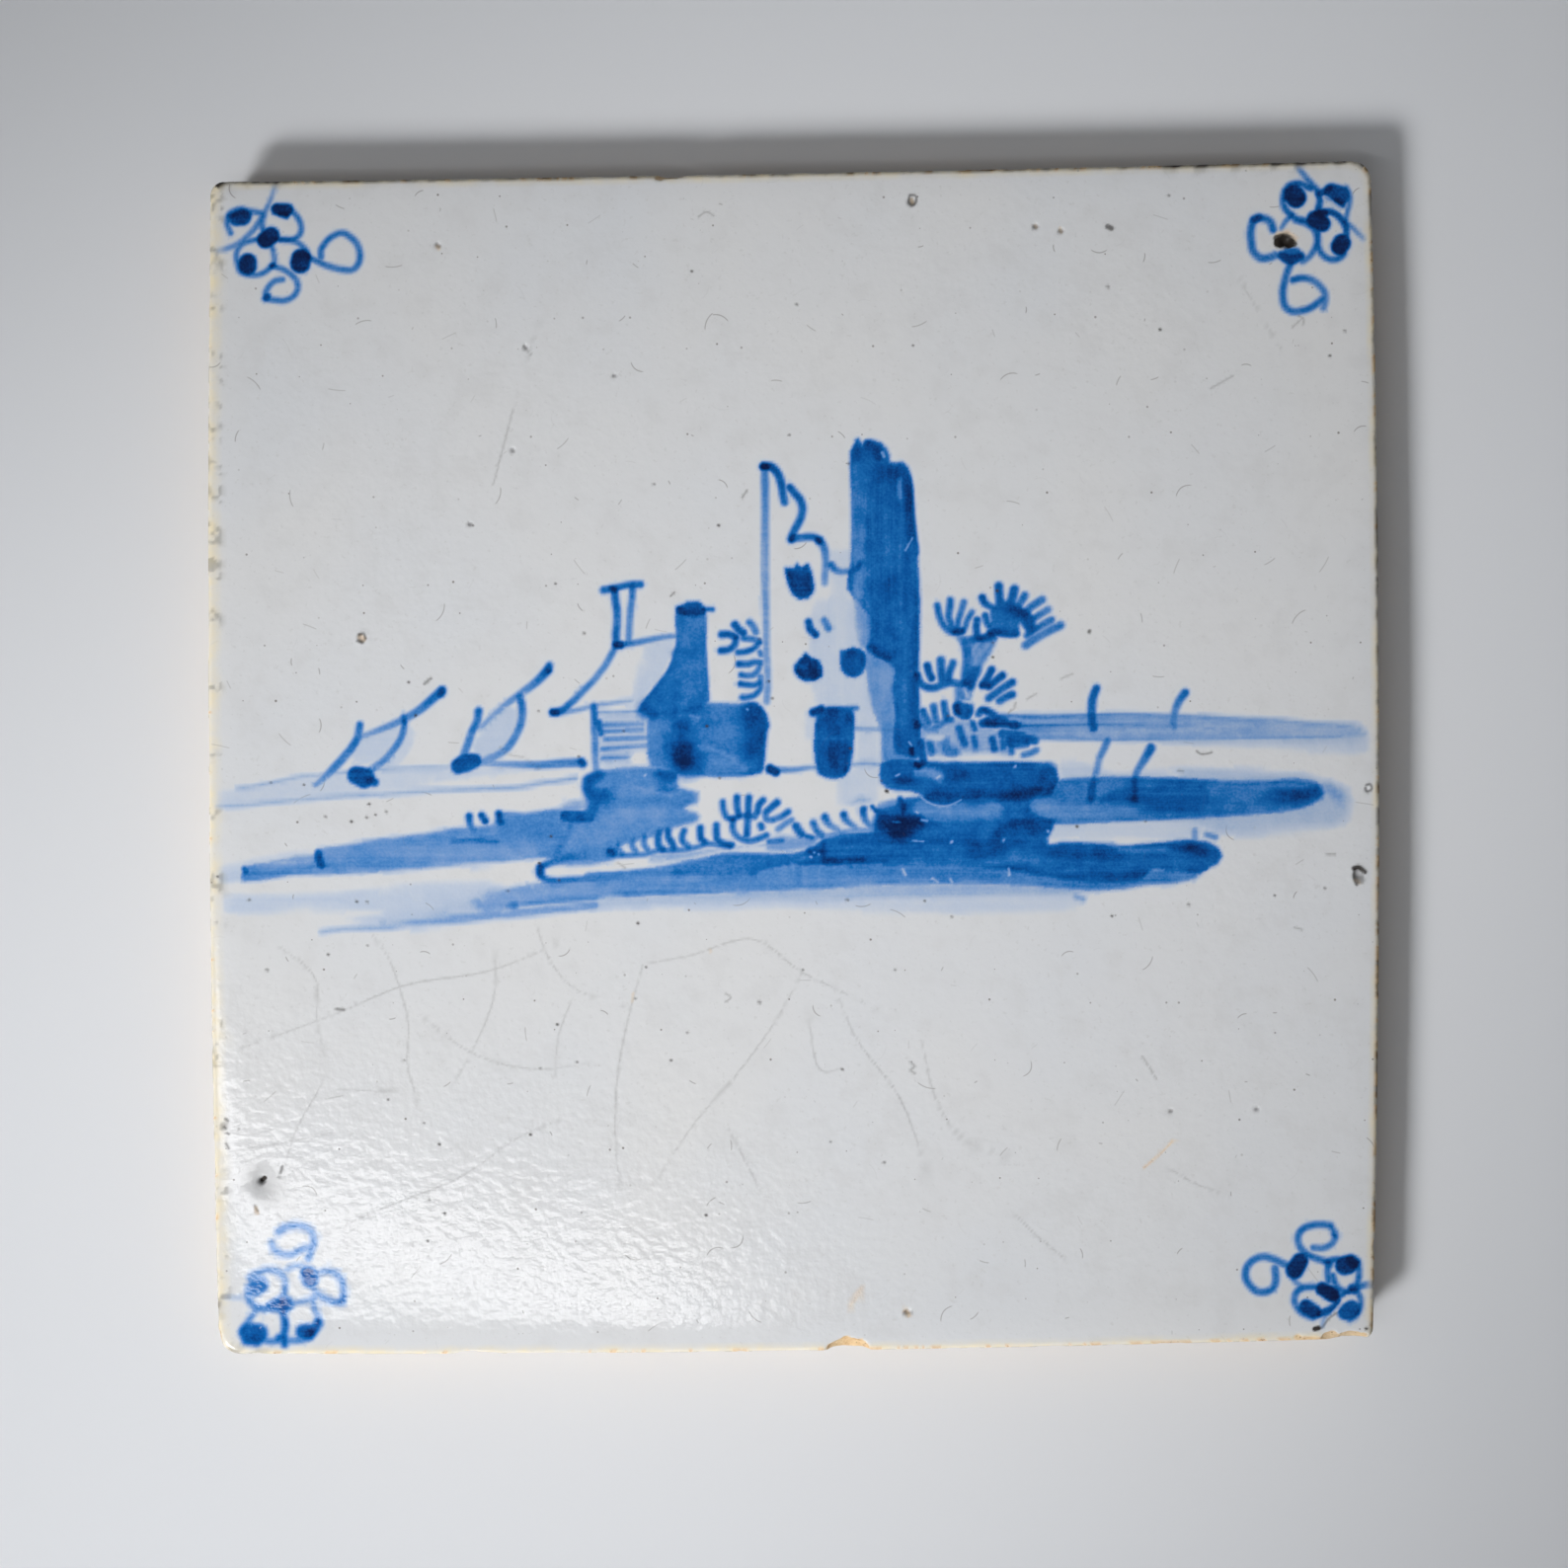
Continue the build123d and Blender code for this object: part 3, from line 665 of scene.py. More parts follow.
# The near shore on the right: the bush's foot, the dark hollow and two bands out to the right.
right_shore = [
    ((0.02, 0.09, 0.11, 0.11, 0.1), "across", (-14, -16.3), (-2, -15.8), (8, -15.5), (20, -15.3),
     (30, -15), (33.2, -15.2), (32.5, -16.2), (30, -17), (26, -17.4), (20, -17.5), (14, -17.3),
     (6, -17), (-2, -16.8), (-14, -16.9)),
    ((0.2, 0.27, 0.27), "across", (3.6, -14.2), (8, -14), (20, -14), (30, -14.4), (33.4, -14.9),
     (31, -15.3), (26, -15.3), (20, -15.5), (14, -15.7), (8, -15.8), (3.6, -15.9)),
    ((0.46, 0.52, 0.55, 0.55, 0.5), "across", (0.4, -11.7), (8, -11.4), (20, -11.6), (30, -12.6),
     (40, -12.4), (46.4, -12.2), (45, -13.4), (42, -14.05), (39.5, -14.15), (37, -14.6),
     (34, -14.8), (30, -14.6), (26, -14.2), (20, -14.1), (14, -14.1), (8, -14.2), (0.4, -14.4)),
    ((0.66, 0.7, 0.7, 0.72, 0.74, 0.72, 0.74), "across", (3.2, -9.1), (6, -8.3), (9, -8.1),
     (9.4, -7), (9.2, -5.7), (10.2, -5.1), (12.4, -4.5), (14.3, -4.2), (16.5, -3.6), (20, -3.4),
     (24, -3.4), (29.3, -3.2), (29, -4.2), (27, -4.7), (26.5, -5.2), (26.8, -6), (28.2, -6.6),
     (29.3, -7), (29.1, -7.7), (28.5, -8.9), (28.6, -9.6), (30, -9.4), (33, -9.5), (36, -9.8),
     (39, -9.6), (42, -9.3), (44.5, -9.1), (46.3, -9.3), (47.5, -10), (47.95, -10.9), (47.4, -11.8),
     (46.4, -12.3), (45.6, -12.8), (43, -12.6), (40.2, -12.5), (38.8, -13.6), (34, -13.9),
     (30, -13.6), (26, -12.9), (20, -12), (14, -11.8), (8, -11.8), (3.2, -11.8)),
    ((0.7, 0.8, 0.8, 0.76), [0.9], (5, -9.6), (9, -9.3), (15, -9.3), (20, -8.6)),
    ((0.74, 0.72, 0.74), "across", (9.9, -0.5), (10.6, -0.2), (13, -0.15), (16.6, -0.4),
     (20, -0.45), (25, -0.4), (28.3, -0.6), (29.3, -1.2), (29.7, -2.2), (29.4, -3.2), (27.5, -3.9),
     (26.5, -4.8), (22, -4.9), (19.2, -4.9), (17, -5.5), (15.2, -4.9), (14.5, -4.2), (13.2, -3.7),
     (11.5, -3.6), (10.5, -3.3), (9.9, -2.8), (9.7, -2)),
    (0.46, [0.8], (14.2, -5.7), (17, -6), (20, -6), (22.6, -5.7)),
    (0.55, [0.4], (15.6, -6.6), (19.2, -6.8)),
    (0.44, [0.5], (13.9, -1.6), (15.3, -1.6), (16.4, -2)),
    (0.4, [0.4], (9.9, -5.3), (11.2, -5)),
    (0.86, [0.9], (18.1, -1.5), (18.8, -1.9)),
    (0.84, [0.45], (11.4, -2.3), (12.4, -2.5), (13.4, -2.6)),
    (0.98, [0.25], (11.6, -2.3), (13, -2.6)),
    ((0.84, 0.9), [0.75], (28.6, -1.3), (28.3, -2.5)),
    (0.85, [0.5], (15.2, -3.8), (17, -3.6), (19.3, -3.8)),
    ((0.84, 1, 1.02, 0.9), [0.42], (22.9, -4.4), (23.8, -4.3), (25, -4.1), (26.3, -4.2)),
    (0.84, [0.4], (23.4, -3.6), (26, -3)),
    (0.85, 0.34, (12, -4.6), (12.4, -5.3), (12.4, -5.9)),
    (0.9, 0.2, (8.9, -5.4), (9.3, -5.9)),
    ((1.05, 1.25, 1.3, 1.2), [0.85, 1.1, 0.95], (9.9, -7.3), (11.2, -7.7), (12.4, -7.7),
     (13.5, -7.4)),
    ((0.95, 1.05, 1, 0.88), [0.5], (22.7, -8.6), (23.6, -8), (24.9, -7.3), (26.5, -7)),
    (0.86, [0.8, 1, 0.8], (23.8, -8.3), (26, -8.2), (27.8, -8)),
    (0.85, [0.9], (19.8, -10.3), (21.4, -10.6), (23, -10)),
    (0.8, [1.1], (30, -10.9), (33, -10.8), (35.3, -10.8)),
    (0.88, [0.6], (34.2, -10.5), (35.6, -10.9)),
    (0.6, [0.4], (36.6, -10.3), (41.5, -10.2)),
    (0.8, 0.1, (36.5, -10.8), (41.8, -10.8)),
    (0.78, 0.1, (38, -9.9), (42.5, -9.6)),
    ((0.8, 0.98, 0.95), [0.6], (43, -9.9), (44.8, -10), (45.8, -10.4)),
    (0.9, [0.25], (45.8, -11.8), (46.1, -12.3)),
    (0.4, 0.4, (44.9, -8.1), (44.9, -8.9)),
    (0.45, 0.35, (46.2, -8.5), (47.2, -8.8)),
    (0.35, 0.35, (31.6, -15.4), (32.4, -15.7)),
    (0.2, "across", (42, -1.3), (50, -1.3), (54.5, -1.6), (57, -1.6), (59, -2.2), (60.5, -2.6),
     (62, -3.4), (62.6, -5), (62.3, -6.5), (61.5, -7.3), (59.5, -7.9), (56, -8.1), (52, -8.4),
     (47.5, -8.4), (45, -7.4), (42, -7.1), (44, -6.5), (54, -5.5), (58, -4), (54, -3), (44, -2.4)),
    (0.14, "across", (29.8, -0.7), (31.5, -0.4), (33.6, -0.8), (36, -1.6), (42, -1.4), (42, -2.4),
     (36, -2.4), (30, -2.4)),
    (0.12, "across", (28.9, -7.6), (34, -7.3), (40, -7.1), (45, -7.2), (46, -8.2), (44, -9),
     (38, -8.9), (32, -8.8), (28.8, -8.9)),
    ((0.6, 0.6, 0.62, 0.66, 0.62, 0.6, 0.6), "across", (29.2, -2.5), (31, -2.2), (36, -2),
     (42, -2.1), (48, -2.4), (53, -2.4), (56, -2.2), (58.2, -2.5), (59.3, -3.2), (59.4, -3.9),
     (58.6, -4.8), (57, -5.6), (55, -6), (52, -6.3), (46, -6.7), (42, -6.9), (36, -7.1), (31, -7.4),
     (28.4, -7.4), (26.8, -6.6), (26, -5.5), (26.5, -4.6), (28.2, -3.7)),
    ((0.45, 0.5, 0.52), [0.8], (27.5, -5.4), (30, -5.8), (34, -5.9), (38, -5.8)),
    (0.6, "across", (42, -2.6), (44, -2.5), (46, -2.9), (46.5, -4), (46.2, -5.4), (45, -5.8),
     (42, -5.9), (38, -5.5), (34, -4.6), (36, -3.4)),
    ((0.62, 0.8, 0.92, 0.88), [0.5, 0.85, 0.7], (51, -4.4), (54, -4.3), (56.6, -4.3), (58.4, -3.8)),
    (1.02, [0.4], (56.3, -4), (57.3, -4.2)),
    ((0.55, 0.72), 0.1, (46.5, -3), (51, -2.9), (56, -2.7), (58.6, -3)),
    ((0.55, 0.75), 0.1, (46, -4.2), (51, -4), (56, -3.7)),
    (0.74, 0.1, (46, -4.9), (51, -5.1), (55, -5)),
    (0.36, [0.5, 0.6], (59.7, -3.2), (60.4, -3.8), (61, -4.4)),
    ((0.6, 0.5, 0.45, 0.5, 0.8, 0.82), (0.4, 0.36, 0.4, 0.48), (35.15, 2), (34.8, 1.15), (34.25, 0),
     (34, -1.1), (33.75, -2.1), (33.4, -3.4), (33.3, -4.5)),
    ((0.75, 0.6, 0.5, 0.65, 0.78, 0.78), (0.5, 0.42, 0.36, 0.5), (40, 1.15), (39.2, -0.25),
     (38.6, -1.25), (38.2, -2.2), (38.2, -3.6), (38.1, -4.5)),
]
# The knoll that the cottage stands on, and the reeds along the foot of it.
knoll = [
    (0.48, "across", (-21, -1.3), (-19, -1), (-16, -0.95), (-13, -1.6), (-12.9, -2.4),
     (-12.7, -3.1), (-11.9, -3.5), (-11, -3.7), (-10.6, -4), (-10.5, -4.5), (-10.8, -5.05),
     (-11.6, -5.3), (-12, -5.6), (-11.5, -5.9), (-10.8, -6.1), (-10.4, -6.5), (-10.6, -7),
     (-11.4, -7.35), (-13, -7.7), (-15, -8.6), (-17, -9.2), (-19.5, -10), (-20, -11.3),
     (-22, -11.8), (-25, -12), (-27, -11.6), (-27, -11), (-25.5, -9), (-25, -7.2), (-24, -6.2),
     (-22.2, -5.2), (-23.4, -3.5), (-23.4, -2.2)),
    (0.82, [0.6], (-14.7, -1.9), (-13.6, -2.1)),
    (0.65, [0.5], (-14.6, -3.3), (-13.4, -3.4)),
    (0.8, [0.5, 0.6], (-22.7, -2.4), (-21.6, -1.9)),
    (0.82, [0.6, 0.8, 0.7], (-22.8, -3.2), (-22.3, -4.2), (-21, -4.2)),
    (0.74, [0.6], (-22.2, -5.2), (-22.7, -6.3)),
    (0.4, [0.6], (-19, -6.2), (-15, -5.8)),
    (-0.35, 0.06, (-18, -3.1), (-15.7, -3.7), (-13.5, -4.2)),
    (0.7, 0.33, (-7.8, -4.9), (-7.7, -5.8), (-7.3, -6.6), (-6.7, -6.8)),
    (0.75, 0.38, (-6.2, -4.4), (-6.2, -5.4), (-6, -6.3)),
    (0.75, 0.38, (-4.9, -4.4), (-4.95, -5.4), (-5, -6.4), (-5.1, -8.5)),
    (0.72, 0.38, (-3.3, -4.7), (-3.8, -5.3), (-3.9, -6)),
    ((0.75, 0.55), (0.4, 0.35), (-1.75, -4.95), (-2.4, -5.5), (-3, -6.1), (-2.9, -6.8),
     (-2.2, -6.9)),
    ((0.72, 0.55), 0.36, (-0.5, -6), (-1.2, -6.5), (-2, -6.8)),
    (0.5, 0.35, (-0.1, -6.9), (-0.8, -7.3), (-1.6, -7.9)),
    (0.75, 0.38, (-3.55, -7.5), (-3.45, -7.7)),
    (0.65, 0.35, (-6.6, -6.9), (-6.7, -7.7), (-6.3, -8.6), (-5.5, -9.1), (-4.5, -9.2), (-3.6, -8.9),
     (-2.9, -8.6)),
    (0.65, 0.35, (-6.9, -6.8), (-6, -6.5), (-5, -6.4), (-4.2, -6.5)),
    (0.75, 0.38, (-8.5, -7.5), (-8.5, -8.3), (-8.4, -9), (-7.8, -9.5), (-6.8, -9.7)),
    (0.75, 0.38, (-10.3, -7.8), (-10.3, -8.4), (-10.2, -9), (-9.8, -9.4)),
    (0.7, 0.36, (-12.1, -8.1), (-12.3, -8.6), (-12.3, -9.2), (-11.6, -9.9)),
    (0.75, 0.38, (-13.9, -8.1), (-13.9, -8.7), (-13.5, -9.4), (-13.2, -10)),
    (0.75, 0.4, (-14.9, -8.2), (-15, -9), (-14.9, -9.8), (-14.5, -10.2)),
    (0.6, 0.33, (-16.5, -8.8), (-16.6, -9.5), (-16.2, -10.2)),
    (0.6, 0.33, (-17.8, -9.1), (-17.9, -9.8), (-17.5, -10.4)),
    (0.6, 0.33, (-19.5, -9.6), (-19.5, -10.1), (-19, -10.7)),
    (0.85, 0.45, (-20.4, -10.4), (-20, -10.5)),
    (0.6, 0.3, (-20, -10.9), (-18, -10.8), (-16.5, -10.7), (-15, -10.3), (-13, -10.3), (-11, -10),
     (-9.5, -9.6), (-8, -9.7), (-7, -9.9)),
    (0.65, 0.3, (-2.6, -9.3), (-1.2, -9.2)),
    (0.33, "across", (-3, -9.4), (-1.4, -8.6), (0.6, -8.8), (3, -8.9), (2.4, -9.8), (0, -10.3),
     (-3, -10.2)),
    ((0.75, 0.5), (0.4, 0.33), (7.9, -5.7), (7.9, -6.2), (8.2, -7), (8.7, -7.6)),
    ((0.75, 0.45), (0.4, 0.3), (5.7, -6.3), (5.9, -6.8), (6.3, -7.2), (7, -7.7)),
    ((0.75, 0.45), (0.42, 0.3), (3.6, -6.6), (3.8, -7), (4.2, -7.5), (5, -7.9)),
    (0.65, 0.38, (2.3, -7.2), (2.5, -7.7), (2.8, -8.2), (3.3, -8.6)),
    (0.75, 0.45, (0.4, -7.6), (0.7, -8.1), (1, -8.5)),
    (0.75, 0.3, (1.6, -8.75), (2.1, -8.85)),
    (0.45, 0.25, (9, -8), (7, -8), (5, -8.3), (3.5, -8.7), (2, -8.9)),
    (0.28, "across", (6.2, -5), (7, -4.4), (8, -4.25), (8.9, -4.8)),
]
# The cottage: two chimneys, a long roof, a plank wall, and a barn at its side.
cottage = [
    (0.12, "upright", (-17.9, 6.4), (-17.5, 8.5), (-17, 10.5), (-16.4, 12.8), (-13.3, 13.4),
     (-13.5, 11.3), (-14.2, 9.5), (-15.5, 7.7), (-16.7, 6.2), (-17.4, 5.3)),
    (0.15, "across", (-21.5, 4.9), (-16.3, 4.9), (-16, 0.8), (-18, 0.7), (-18.3, -0.7),
     (-21.5, -0.8)),
    ((0.66, 0.62, 0.6, 0.62, 0.58, 0.6), "upright", (-12.95, 16.4), (-12.95, 12.6), (-13.3, 11.2),
     (-13.8, 10), (-15.2, 8), (-16.8, 6.1), (-17.4, 5.1), (-15.9, 4.7), (-10, 5.5), (-9.4, 6.2),
     (-9.5, 9), (-9.7, 12.5), (-9.75, 16.4)),
    (0.84, "across", (-13, 16.9), (-12.2, 17.2), (-11.8, 17.45), (-10.4, 17.45), (-9.8, 16.9),
     (-9.8, 16.1), (-12.9, 16.1)),
    ((0.48, 0.58, 0.68, 0.66, 0.56, 0.58, 0.78, 0.8), "across", (-15.9, 5.1), (-13, 5.2),
     (-10.5, 5.8), (-9.2, 6.2), (-6.1, 6.1), (-5, 6.3), (-4.1, 6.2), (-3.4, 5.6), (-2.9, 4.8),
     (-2.6, 3.7), (-2.9, 2.8), (-3, 1.5), (-3.1, 0), (-3.3, -1.5), (-5.3, -2), (-8, -2.15),
     (-10, -2), (-13, -1.7), (-14.4, -1.2), (-15.7, -1)),
    (0.72, [0.8, 1.3, 1.1], (-16.3, 5.4), (-14.5, 6), (-13.8, 7.5)),
    (0.68, [0.7], (-12.7, 11.6), (-11, 11.4)),
    ((0.66, 0.7, 0.76), [0.28], (-12.75, 15.6), (-12.75, 12.6), (-13.1, 11.2), (-13.6, 10),
     (-15, 8), (-16.6, 6)),
    ((0.62, 0.66, 0.66), [0.25], (-9.95, 15.6), (-9.9, 12.5), (-9.7, 9), (-9.6, 6.6)),
    (0.68, (0.42, 0.36, 0.4), (-21.1, 18.75), (-20.2, 18.9), (-19, 19.2), (-17.8, 19.4),
     (-17, 19.4)),
    (0.85, 0.4, (-20.2, 18.9), (-19.9, 18.7)),
    ((0.75, 0.65, 0.75), 0.42, (-19.9, 18.8), (-19.8, 17.8), (-19.6, 16.5), (-19.6, 15),
     (-19.7, 13.8), (-19.7, 12.8)),
    (0.95, 0.45, (-19.7, 12.65), (-19.2, 12.65)),
    ((0.65, 0.55, 0.45), 0.36, (-17.9, 19.2), (-17.9, 18), (-18.1, 16.5), (-18.2, 15),
     (-18.3, 13.1)),
    ((0.65, 0.45), (0.36, 0.28), (-19.2, 12.65), (-17.5, 12.9), (-15.5, 13.3), (-13.5, 13.6),
     (-12.8, 13.6)),
    ((0.6, 0.5, 0.55, 0.8), (0.36, 0.36, 0.42), (-19.7, 12.6), (-20.3, 11.4), (-21.1, 10.1),
     (-22.2, 8.7), (-23.5, 7.4), (-24.8, 6.1), (-25.8, 5.3), (-26.7, 5.15)),
    (0.9, 0.4, (-26.8, 5.1), (-26.3, 5.1)),
    ((0.5, 0.3), (0.28, 0.22), (-26.4, 4.95), (-25, 5.2), (-23.5, 5.5), (-22, 5.9), (-20.5, 6.1),
     (-19, 6.3), (-18, 6.4)),
    ((0.75, 0.55, 0.45), 0.38, (-22.2, 5.8), (-22.1, 4.5), (-22.1, 3), (-22, 1.5), (-22, 0),
     (-21.9, -1.3)),
    (0.7, 0.35, (-21.6, 4), (-21.4, 2.7)),
    (0.4, 0.2, (-21.6, 5.1), (-19.5, 5.1), (-17.5, 5.2)),
    ((0.55, 0.38), 0.3, (-21, 3.7), (-16.8, 3.8)),
    ((0.55, 0.42), 0.24, (-21, 3), (-16.8, 3.15)),
    ((0.55, 0.42), 0.28, (-20.9, 2.1), (-16.3, 2.3)),
    ((0.55, 0.42), 0.25, (-21.2, 1.05), (-16.3, 1.4)),
    (0.3, 0.15, (-21, 0.45), (-18, 0.5)),
    ((0.55, 0.45), 0.26, (-21.2, 0), (-18.4, 0.1)),
    (1.05, [0.35], (-12.6, 16.5), (-12.3, 16.5)),
    (0.95, [0.3], (-10.4, 16.3), (-10, 16.4)),
    (0.7, 0.26, (-9.9, 16.6), (-8.95, 16.6)),
    (0.9, [0.75], (-12.4, 3.9), (-12.3, 3.3)),
    (0.84, [1.6], (-12.3, 0.8), (-11.8, -0.4)),
    (1.15, [0.95], (-12.4, 0.7), (-12.2, -0.2)),
    (0.86, [0.5], (-16.5, 5.6), (-15.5, 5)),
    (0.78, [0.4], (-11.1, 5.8), (-11, 5.3)),
    (0.62, [0.3], (-10, 1), (-8.5, 1.1), (-7, 0.8)),
    (0.58, [0.45], (-9.6, -1.4), (-7.5, -1.4), (-5.4, -1.2)),
    ((0.9, 0.95, 0.9, 0.85), [0.95], (-4.4, 5), (-4.1, 3.8), (-4.2, 2.4), (-4.4, 1.2)),
    (-0.4, 0.08, (-10.5, 1.3), (-9, 1.1), (-7.5, 0.4), (-6.5, 0)),
    (-0.4, 0.07, (-11.8, 5), (-10.4, 4.4)),
    (-0.4, 0.07, (-12.4, 4.5), (-12.4, 5.1)),
    (0.8, 0.4, (-7.9, 13.8), (-7, 13.8), (-6.4, 13.5)),
    (0.8, 0.42, (-6.45, 14.9), (-6.1, 14.4), (-5.5, 14)),
    (0.75, 0.38, (-8, 12), (-7.2, 12.1), (-6.5, 12.6), (-6.3, 13.4)),
    (0.6, 0.38, (-4.8, 15.2), (-4.4, 14.7), (-4.1, 14.1)),
    (0.65, 0.35, (-5.5, 13.4), (-4.6, 13.3), (-3.8, 13.1)),
    (0.75, 0.33, (-6.1, 11.8), (-5.2, 11.9), (-4.3, 12.3), (-3.7, 12.9)),
    (0.6, 0.3, (-3.65, 11.8), (-3.55, 11.6)),
    ((0.8, 0.6), 0.36, (-6, 10.5), (-5, 10.5), (-4.1, 10.7), (-3.6, 10.6)),
    ((0.75, 0.5), 0.33, (-5.7, 9.3), (-5, 9.2), (-4.2, 9.4), (-3.7, 10.2), (-3.6, 10.7)),
    ((0.8, 0.6), 0.33, (-5.8, 8.3), (-5, 8.2), (-4.2, 8.2), (-3.6, 8.6), (-3.6, 9.1)),
    ((0.75, 0.55), 0.33, (-5.6, 6.8), (-5, 6.8), (-4.2, 7.1), (-3.6, 7.8), (-3.6, 8.5)),
]
# The ruined tower: a broken wall drawn in outline, and the shaded one behind it.
tower = [
    (0.11, "upright", (2.9, 17.8), (4.1, 18), (4.1, 23.3), (6.4, 23.3), (6.3, 18), (7, 17.5),
     (8, 12.5), (8.6, 11), (9.5, 3), (9.6, -0.5), (9.4, -5), (5, -5.1), (5, -2.3), (6.7, -1.2),
     (6.9, 5.6), (2.9, 5.8)),
    (0.2, [0.5], (8, 16), (7.9, 13)),
    (0.09, "upright", (1.4, 5), (3, 5), (3, 2), (1.4, 2)),
    (0.4, "upright", (6.8, 17.9), (8.4, 16), (8.4, 12.2), (7.6, 12.3), (7, 15)),
    ((0.5, 0.46, 0.42, 0.42), "upright", (8.3, 12.1), (9.2, 11.5), (10.7, 10.8), (11.5, 10.2),
     (11.3, 6), (11.6, 3), (13.9, 1), (13.9, -0.2), (10, -0.3), (9.8, 3), (8.7, 6)),
    (0.72, "upright", (6.5, 34.3), (6.9, 34.8), (7, 35.5), (7.3, 35.7), (7.6, 35.3), (7.8, 34.9),
     (8.2, 35.4), (9, 35.5), (9.9, 35.2), (10.5, 34.6), (10.8, 33.8), (10.9, 33.1), (11.5, 33),
     (12.2, 33.1), (12.8, 32.6), (13.15, 31.7), (13.3, 30.5), (13.4, 28.5), (13.6, 26.5),
     (13.9, 24), (14, 22), (14.1, 20), (14.2, 18), (14.1, 10), (14.2, 5), (14.1, 0), (11.4, 0.5),
     (11.3, 5), (11.1, 8), (11.3, 10), (10.5, 10.7), (9, 11.5), (8.3, 12.2), (8.4, 14), (8.2, 16),
     (7, 17.6), (6.1, 19), (6.2, 20.5), (6.5, 22), (6.6, 25), (6.6, 28), (6.5, 31), (6.4, 33)),
    ((0.6, 0.6, 0.5), [0.6], (7.3, 32.5), (7.4, 28), (7.4, 18.5)),
    ((0.8, 1, 0.95, 0.84), [0.45], (12, 32.2), (12.8, 31), (13, 29.5), (13.1, 28), (13.2, 26.5),
     (13.6, 23)),
    (0.96, [0.5], (8.4, 35), (9.2, 34.5), (9.6, 33.7)),
    (0.86, [0.4], (7.1, 34.6), (7, 34)),
    (0.4, [0.2], (10, 34.1), (10.2, 33.7)),
    (0.5, [0.25], (11.9, 31.2), (12, 29)),
    (0.92, [0.8], (9.6, 31.7), (11.2, 31.7)),
    (0.82, [0.3], (6.5, 20.7), (7.2, 21.2), (7.6, 21.9)),
    (0.84, [1], (9.2, 19.2), (10.8, 19.2)),
    (0.96, [0.5], (8.8, 12.3), (9.8, 11.8), (10.8, 11.3)),
    (0.66, [0.5], (12.4, 16), (12.4, 4)),
    ((0.6, 0.42, 0.4, 0.4), (0.42, 0.4, 0.38), (-3.1, 32.6), (-3.1, 31), (-3.05, 28), (-3.1, 25),
     (-3.1, 20), (-2.95, 16), (-2.9, 12), (-2.8, 8), (-2.9, 6.3)),
    ((0.95, 0.8, 0.7), (0.45, 0.42), (-3.2, 32.6), (-2.4, 32.5), (-1.7, 31.8), (-1.3, 30.8),
     (-1.1, 29.6), (-0.9, 28.6)),
    (1.05, 0.4, (-3.3, 32.5), (-2.9, 32.5)),
    ((0.8, 0.68), 0.42, (-0.3, 30.2), (0.3, 29.5), (0.9, 28.7), (1.1, 27.8), (0.9, 26.8),
     (0.4, 25.8), (0, 24.9), (-0.1, 24.5)),
    (0.7, 0.4, (-0.2, 24.5), (0.8, 24.6), (2, 24.7), (2.6, 24.6), (3, 24.3)),
    (0.85, 0.4, (-0.1, 24.4), (0.1, 24.6)),
    (0.85, 0.4, (2.8, 24.4), (3, 24.2)),
    ((0.72, 0.5, 0.4), (0.42, 0.38), (3, 24.4), (3.5, 23.5), (3.7, 22.5), (3.7, 21.3), (3.6, 20.2),
     (3.6, 19.6)),
    ((0.7, 0.5), (0.4, 0.35), (4.3, 21.6), (4.7, 21.1), (5.4, 20.8), (6.2, 20.9)),
    (0.9, "across", (-0.8, 21.2), (0.2, 21.3), (0.5, 21.75), (0.9, 21.3), (1.7, 21.7), (2.1, 20.8),
     (2.35, 19.4), (2.3, 18.5), (1.6, 17.8), (0.7, 17.75), (0, 18.3), (-0.5, 19.5)),
    (1, "across", (0.2, 10.3), (0.9, 11.1), (1.45, 11.75), (2.1, 11.2), (3, 10.9), (3.35, 10),
     (3.3, 9.2), (2.6, 8.7), (1.5, 8.6), (0.7, 9), (0.25, 9.7)),
    (0.8, "across", (5.35, 12), (5.9, 12.1), (6.8, 12.4), (7.6, 12.2), (8.1, 11.8), (8.2, 10.4),
     (7.8, 9.4), (7, 9), (6, 9.2), (5.4, 9.9), (5.3, 11)),
    (0.85, 0.4, (1.8, 15.2), (2, 14.4), (2.6, 13.8)),
    (0.6, 0.4, (3.5, 15.4), (4, 14.5)),
    (0.78, "upright", (3, 5.5), (6.7, 5.5), (6.6, 0), (6.3, -1.3), (5.6, -2.1), (4.8, -2.3),
     (3.8, -2.2), (3, -1.8)),
    (0.6, 0.3, (3.3, 5.5), (7.1, 5.6)),
    (0.9, 0.45, (2.3, 5.1), (3.2, 5.5)),
    (0.96, [1], (4.9, 0.6), (5.2, -0.6)),
    (0.9, [0.6], (4.8, 4.4), (6, 4.4)),
    (0.7, [0.2], (3.4, 2.2), (6.4, 2.3)),
    (1.05, 0.5, (-2.5, -1.2), (-1.9, -1.5)),
    ((0.5, 0.4), (0.35, 0.22), (-1.5, -1.3), (0, -1.3), (1.5, -1.1), (3, -1)),
    (0.35, 0.28, (6.8, -0.7), (8, -0.6), (9.7, -0.7)),
    (0.35, 0.3, (7, 3.3), (11, 3.2)),
    (1.05, 0.36, (13.3, 1.1), (13.3, 0.6)),
    (1.05, 0.38, (13.8, -0.7), (14.1, -0.85)),
    (0.8, 0.45, (14.3, 1.8), (14.5, 0.5), (14.6, -0.5)),
]
